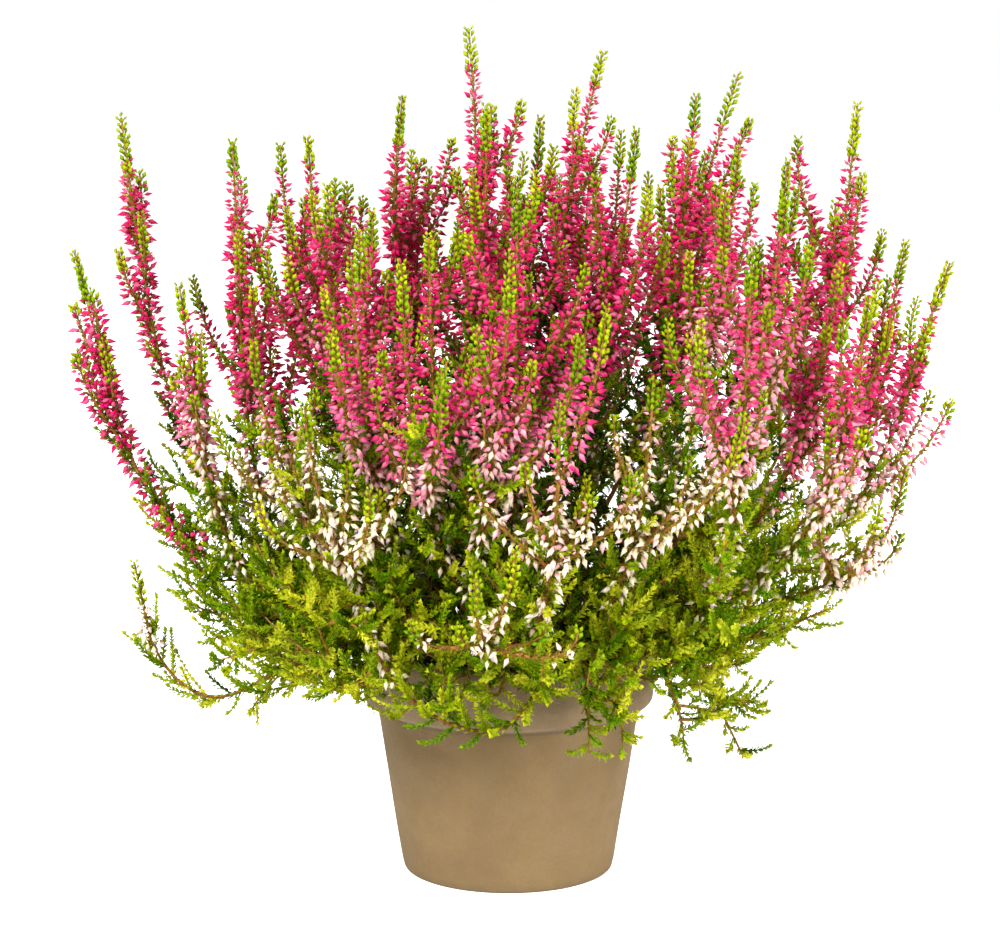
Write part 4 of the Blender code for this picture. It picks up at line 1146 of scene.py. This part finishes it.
# Buds are white below one height and crimson above another. The height is shifted for each bloom:
# up for the outliers at the left, so that they are crimson farther down, and down at the front.
WHITE_Z = 146.0
CRIMSON_Z = 217.0
RIPE_SCATTER = 9
SHIFT_SCATTER = 14
SIDE_SHIFT_SCATTER = 5
OUTLIER_SHIFT = 38.0
OUTLIER_X = (118.0, 138.0)
FRONT_SHIFT = 16.0
FRONT_Y = (0.0, 110.0)

BUD = turned_template(((0, 0.0), (0.5, 0.38), (0, 1.0)), 5)
STALK = turned_template(((0.5, 0.0), (0, 1.0)), 3)
BUD_FOOT = ((0.0, (0.86, 0.80, 0.38)), (0.3, (0.88, 0.58, 0.50)),
            (0.65, (0.70, 0.22, 0.20)), (1.0, (0.52, 0.075, 0.075)))
BUD_POINT = ((0.0, (0.96, 0.83, 0.70)), (0.3, (0.90, 0.32, 0.43)),
             (0.65, (0.84, 0.035, 0.25)), (1.0, (0.73, 0.001, 0.135)))
# Some buds at random are paler, partly as a painted highlight, and some deeper, partly as painted shade
PALE_BUD_AND_HIGHLIGHT = (0.92, 0.30, 0.48)
DEEP_BUD_AND_SHADE = (0.28, 0.001, 0.035)


def fork_distance(leader, length, bloom_length, tip):
    """How far along the leader a side spike forks off, low enough to reach its tip."""
    beside = length - bloom_length + 4.0
    for distance in range(int(length - bloom_length) + 4, int(length - 30), 4):
        place = place_on(leader, distance)
        spread = math.hypot(tip[0] - place[0], tip[1] - place[1])
        if tip[2] - place[2] <= max(34.0, spread * 1.9):
            break
        beside = distance
    return beside


def ripeness(places, shift, draw):
    """0 for white buds to 1 for crimson ones, by height and with some scatter."""
    height = places[:, 2] + shift + draw.normal(0, RIPE_SCATTER, len(places))
    share = np.clip((height - WHITE_Z) / (CRIMSON_Z - WHITE_Z), 0, 1)
    return share * share * (3 - 2 * share)


def roomiest_tip(leader, bloom_length, taken, is_close, draw):
    """Of some tips tried round a leading spike, the one with the most room, if any has enough."""
    outs = CLOSE_OUT if is_close else EXTRA_OUT
    best, most_room = None, CLOSE_ROOM if is_close else EXTRA_ROOM
    for _ in range(EXTRA_TRIES):
        turn, out = draw.uniform(0, math.tau), draw.uniform(*outs)
        drop = draw.uniform(EXTRA_DROP, 0.5 * bloom_length)
        tip = leader + vector(out * math.cos(turn), out * math.sin(turn), -drop)
        room = np.linalg.norm((tip - np.array(taken)) * vector(1, 1, 0.4), axis=1).min()
        if room > most_room and np.hypot(*tip[:2]) < np.hypot(*leader[:2]) + 2:
            best, most_room = tip, room
    return best


def spread_more_tips(blooms, draw):
    """Tips of further side spikes, each put where the spikes round its bloom leave most room."""
    taken = [tip for _, route, _, _, tips in blooms for tip in (route[-1], *tips)]
    added = [[] for _ in blooms]
    for round_number in range(EXTRA_ROUNDS):
        is_late = round_number >= LATE_ROUND
        for index, (_, route, bloom_length, _, tips) in enumerate(blooms):
            if not tips:
                continue
            leader = route[-1]
            is_close = leader[0] < -CLOSE_SPIKES_X or (is_late and leader[0] > CLOSE_SPIKES_X)
            tip = roomiest_tip(leader, bloom_length, taken, is_close, draw)
            if tip is not None:
                taken.append(tip)
                added[index].append(tip)
    return added


def square_off(sides, aims):
    """Side directions turned square to the aims."""
    return unit(sides - aims * np.sum(sides * aims, axis=1, keepdims=True))


def bud_aims(headings, outward, share, ripe, draw):
    """Buds point out from the spike, more upward near its top; the white ones hang down."""
    spread = BUD_SPREAD - TIP_SPREAD_LESS * share ** 3 + (1 - ripe) * DROOP
    angle = np.radians(spread + draw.normal(0, BUD_AIM_SCATTER, len(share)))[:, None]
    up = np.where(ripe[:, None] > DROOPS_BELOW, headings, unit(headings + vector(0, 0, 1.5)))
    return unit(up * np.cos(angle) + outward * np.sin(angle))


def bud_whorls(piece, route, bare, buds_end, shift, draw):
    """Whorls of buds on stalks up a spike, with fewer where they are white or the stem lies low."""
    whorls = np.arange(bare, buds_end, WHORL_STEP)
    distances = np.repeat(whorls, WHORL_BUDS) + draw.uniform(-1.5, 1.5, len(whorls) * WHORL_BUDS)
    count = len(distances)
    places, headings = walk(route, distances)
    share = np.clip(distances / buds_end, 0, 1)
    turns = (np.arange(count) % WHORL_BUDS) * math.tau / WHORL_BUDS + np.repeat(
        np.arange(len(whorls)) * WHORL_TURN, WHORL_BUDS) + draw.normal(0, 0.3, count)
    outward = square_to(headings, turns)
    ripe = ripeness(places, shift, draw)
    aims = bud_aims(headings, outward, share, ripe, draw)
    stalk = LEAST_STALK + draw.uniform(*STALK_LENGTH, count) * (1 - share) ** 0.8
    stalk = stalk + STALK_SCATTER * draw.random(count)
    stalk_aims = unit(outward + headings * 0.35)
    roots = places + stalk_aims * stalk[:, None]
    swell = (1 - 0.42 * share ** 4) * draw.uniform(0.8, 1.12, count)
    steep = np.clip((headings[:, 2] - 0.1) * 1.9, 0.15, 1)
    full = WHITE_FULLNESS + RIPE_FULLER * np.clip(ripe * 1.6, 0, 1)
    kept = draw.random(count) < full * steep
    sides = square_off(unit(np.cross(aims, outward) + outward * 0.01), aims)
    vary = draw.random(count)
    piece.stamp(BUD, roots[kept], aims[kept], sides[kept], (BUD_SIZE[0] * swell)[kept],
                (BUD_SIZE[1] * swell)[kept], BUD_KIND, ripe[kept], vary[kept])
    stalk_sides = square_off(square_to(stalk_aims, np.zeros(count)), stalk_aims)
    same = np.ones(kept.sum())
    piece.stamp(STALK, places[kept], stalk_aims[kept], stalk_sides[kept], stalk[kept] + 0.5,
                same * STALK_WIDTH, LEAF_KIND, same * 0.4, vary[kept])


def bud_spike(piece, route, bare, shift, green_tip, draw):
    """A spike: its stem, its green tip, its whorls of buds, and small leaves between them."""
    length = distances_of(route)[-1]
    buds_end = length - draw.uniform(*green_tip)
    woody_stem(piece, part_of(route, 0, length - 1.0), SPIKE_RADII, 0.5, draw)
    clad_in_leaves(piece, route, buds_end - 2.0, length - 0.4, YOUNG_LEAF_STEP, YOUNG_LEAF_SIZE,
                   draw.uniform(*YOUNG_TONE), draw, offset=0.8, leaf_shape=YOUNG_LEAF)
    bud_whorls(piece, route, bare, buds_end, shift, draw)
    start, stop = max(bare * 0.3, 1.0), buds_end - 1
    clad_in_leaves(piece, route, start, stop, BRACT_STEP, BRACT, 0.47, draw, offset=0.5, kind=BARK_KIND)
    clad_in_leaves(piece, route, start, stop, 2 * BRACT_STEP, SPIKE_LEAF, 0.55, draw, offset=0.5)


def petal_like_bud():
    """Creamy white to pink to crimson by ripeness, paler at the foot and deeper at the point."""
    material, tree, shader = new_material("petal_like_bud", 0.45)
    tone, vary, along = [stored(tree, word) for word in ("tone", "vary", "along")]
    foot = colour_ramp(tree, tone, *BUD_FOOT)
    point = colour_ramp(tree, tone, *BUD_POINT)
    petals = mix_colours(tree, mapped(tree, along, 0.05, 0.75), foot, point)
    # Paler buds at random, partly a painted highlight; deeper ones, partly painted shade
    petals = mix_colours(tree, mapped(tree, vary, 0.6, 1.0, 0.0, 0.42), petals, PALE_BUD_AND_HIGHLIGHT)
    petals = mix_colours(tree, mapped(tree, vary, 0.0, 0.35, 0.42, 0.0), petals, DEEP_BUD_AND_SHADE)
    shader.inputs["Specular IOR Level"].default_value = 0.06
    tree.links.new(petals, shader.inputs["Base Color"])
    silky = mapped(tree, mottled(tree, 900.0, 2.0), 0.0, 1.0, 0.36, 0.5)
    tree.links.new(silky, shader.inputs["Roughness"])
    return material


bud = petal_like_bud()
more_tips = spread_more_tips(bloom_routes, np.random.default_rng(EXTRA_SEED))
for number, (_, route, bloom_length, lean, side_tips) in enumerate(bloom_routes, 1):
    draw = np.random.default_rng(BLOOM_SEED + number)
    piece = Growth()
    length = distances_of(route)[-1]
    joint = length - bloom_length
    under = draw.uniform(*UNDER_JOINT) if side_tips else 0.0
    leader = part_of(route, joint - under, length, 2.5)
    tip_x, tip_y, _ = route[-1]
    shift = (OUTLIER_SHIFT * share_of(OUTLIER_X, -tip_x) + draw.normal(0, SHIFT_SCATTER)
             - FRONT_SHIFT * share_of(FRONT_Y, -tip_y))
    bud_spike(piece, leader, 2.0, shift, GREEN_TIP, draw)
    for index, tip in enumerate(list(side_tips) + more_tips[number - 1]):
        side = side_route(route, fork_distance(route, length, bloom_length, tip), tip, lean)
        green_tip = GREEN_TIP if index < len(side_tips) + 1 else SHORT_GREEN_TIP
        bud_spike(piece, side, 8.0, shift + draw.normal(0, SIDE_SHIFT_SCATTER), green_tip, draw)
    shoots_end = under + bloom_length * 0.3
    shoots_along(piece, leader, 2, shoots_end, SPIKE_SHOOT_STEP, SPIKE_SHOOT_LENGTH, draw)
    made = piece.finished(f"bud_spikes_{number:02d}", [bark, leaf, bud])
    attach(made, "root")
    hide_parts(f"bloom_{number:02d}")


# Floor
# A plain white studio floor, wide enough to meet the white surround in every view. It looks as
# bright as overlit paper but lights the plant only a little.
FLOOR_RADIUS = 14000.0
FLOOR_SIDES = 64
PAPER_GLOW = 0.85
PAPER_BOUNCE = 0.10
PAPER_WHITE = ((0.90, 0.90, 0.90), (0.93, 0.93, 0.93))


def studio_floor():
    """A flat disc."""
    places = [(FLOOR_RADIUS * math.cos(math.tau * k / FLOOR_SIDES),
               FLOOR_RADIUS * math.sin(math.tau * k / FLOOR_SIDES), 0.0) for k in range(FLOOR_SIDES)]
    return places, [list(range(FLOOR_SIDES))]


def white_paper():
    """White paper that glows for the camera and only faintly for the plant."""
    material, tree, shader = new_material("white_paper", 0.9)
    tree.links.new(mix_colours(tree, mottled(tree, 3.0, 2.0), *PAPER_WHITE), shader.inputs["Base Color"])
    shader.inputs["Specular IOR Level"].default_value = 0.0
    shader.inputs["Emission Color"].default_value = (1.0, 1.0, 1.0, 1.0)
    seen = add_node(tree, "ShaderNodeLightPath").outputs["Is Camera Ray"]
    glow = mapped(tree, seen, 0.0, 1.0, PAPER_BOUNCE, PAPER_GLOW)
    tree.links.new(glow, shader.inputs["Emission Strength"])
    return material


floor = object_from_arrays("studio_floor", *studio_floor(), [white_paper()])


# Lights
# Soft studio light: an even white surround, a large key light from the upper left front, and
# weaker ones from the right and from behind. Places are in metres, sizes too, power in watts.
SURROUND_LIGHT = 0.28
LAMPS = (
    ("key_light", (-1.0, -1.6, 1.65), (0, 0, 0.18), 0.8, 79.0),
    ("fill_light", (1.8, -0.9, 0.75), (0, 0, 0.16), 1.0, 40.0),
    ("back_light", (0.4, 1.9, 1.6), (0, 0, 0.16), 1.2, 38.0),
)
scene = bpy.context.scene
scene.view_settings.view_transform = "Standard"
world = bpy.data.worlds.new("studio_surround")
world.use_nodes = True
surround = world.node_tree
seen = add_node(surround, "ShaderNodeLightPath").outputs["Is Camera Ray"]
surround.nodes["Background"].inputs["Color"].default_value = (1.0, 1.0, 1.0, 1.0)
surround.links.new(mapped(surround, seen, 0.0, 1.0, SURROUND_LIGHT, 1.0),
                   surround.nodes["Background"].inputs["Strength"])
scene.world = world


def soft_light(name, place, aim, size, power):
    """A round area lamp at a place, turned towards its aim."""
    lamp = bpy.data.lights.new(name, "AREA")
    lamp.shape = "DISK"
    lamp.size = size
    lamp.energy = power
    made = bpy.data.objects.new(name, lamp)
    made.location = place
    direction = made.location.copy()
    direction.x, direction.y, direction.z = (a - p for a, p in zip(aim, place))
    made.rotation_euler = direction.to_track_quat("-Z", "Y").to_euler()
    scene.collection.objects.link(made)


for name, place, aim, size, power in LAMPS:
    soft_light(name, place, aim, size, power)


# Camera
# It looks slightly down at the plant from straight in front, from just over a metre away.
# Distances are in metres, the lens and sensor in millimetres.
CAMERA_DISTANCE = 1.1
CAMERA_HEIGHT = 0.332
TARGET_HEIGHT = 0.166
CAMERA_X = -0.0034
LENS = 98.75
SENSOR_WIDTH = 36.0

camera_data = bpy.data.cameras.new("photo_camera")
camera_data.sensor_fit = "AUTO"
camera_data.sensor_width = SENSOR_WIDTH
camera_data.lens = LENS
camera_data.dof.use_dof = False
camera = bpy.data.objects.new("photo_camera", camera_data)
camera.location = (CAMERA_X, -CAMERA_DISTANCE, CAMERA_HEIGHT)
tilt = math.atan2(CAMERA_HEIGHT - TARGET_HEIGHT, CAMERA_DISTANCE)
camera.rotation_euler = (math.pi / 2 - tilt, 0, 0)
scene.collection.objects.link(camera)
scene.camera = camera
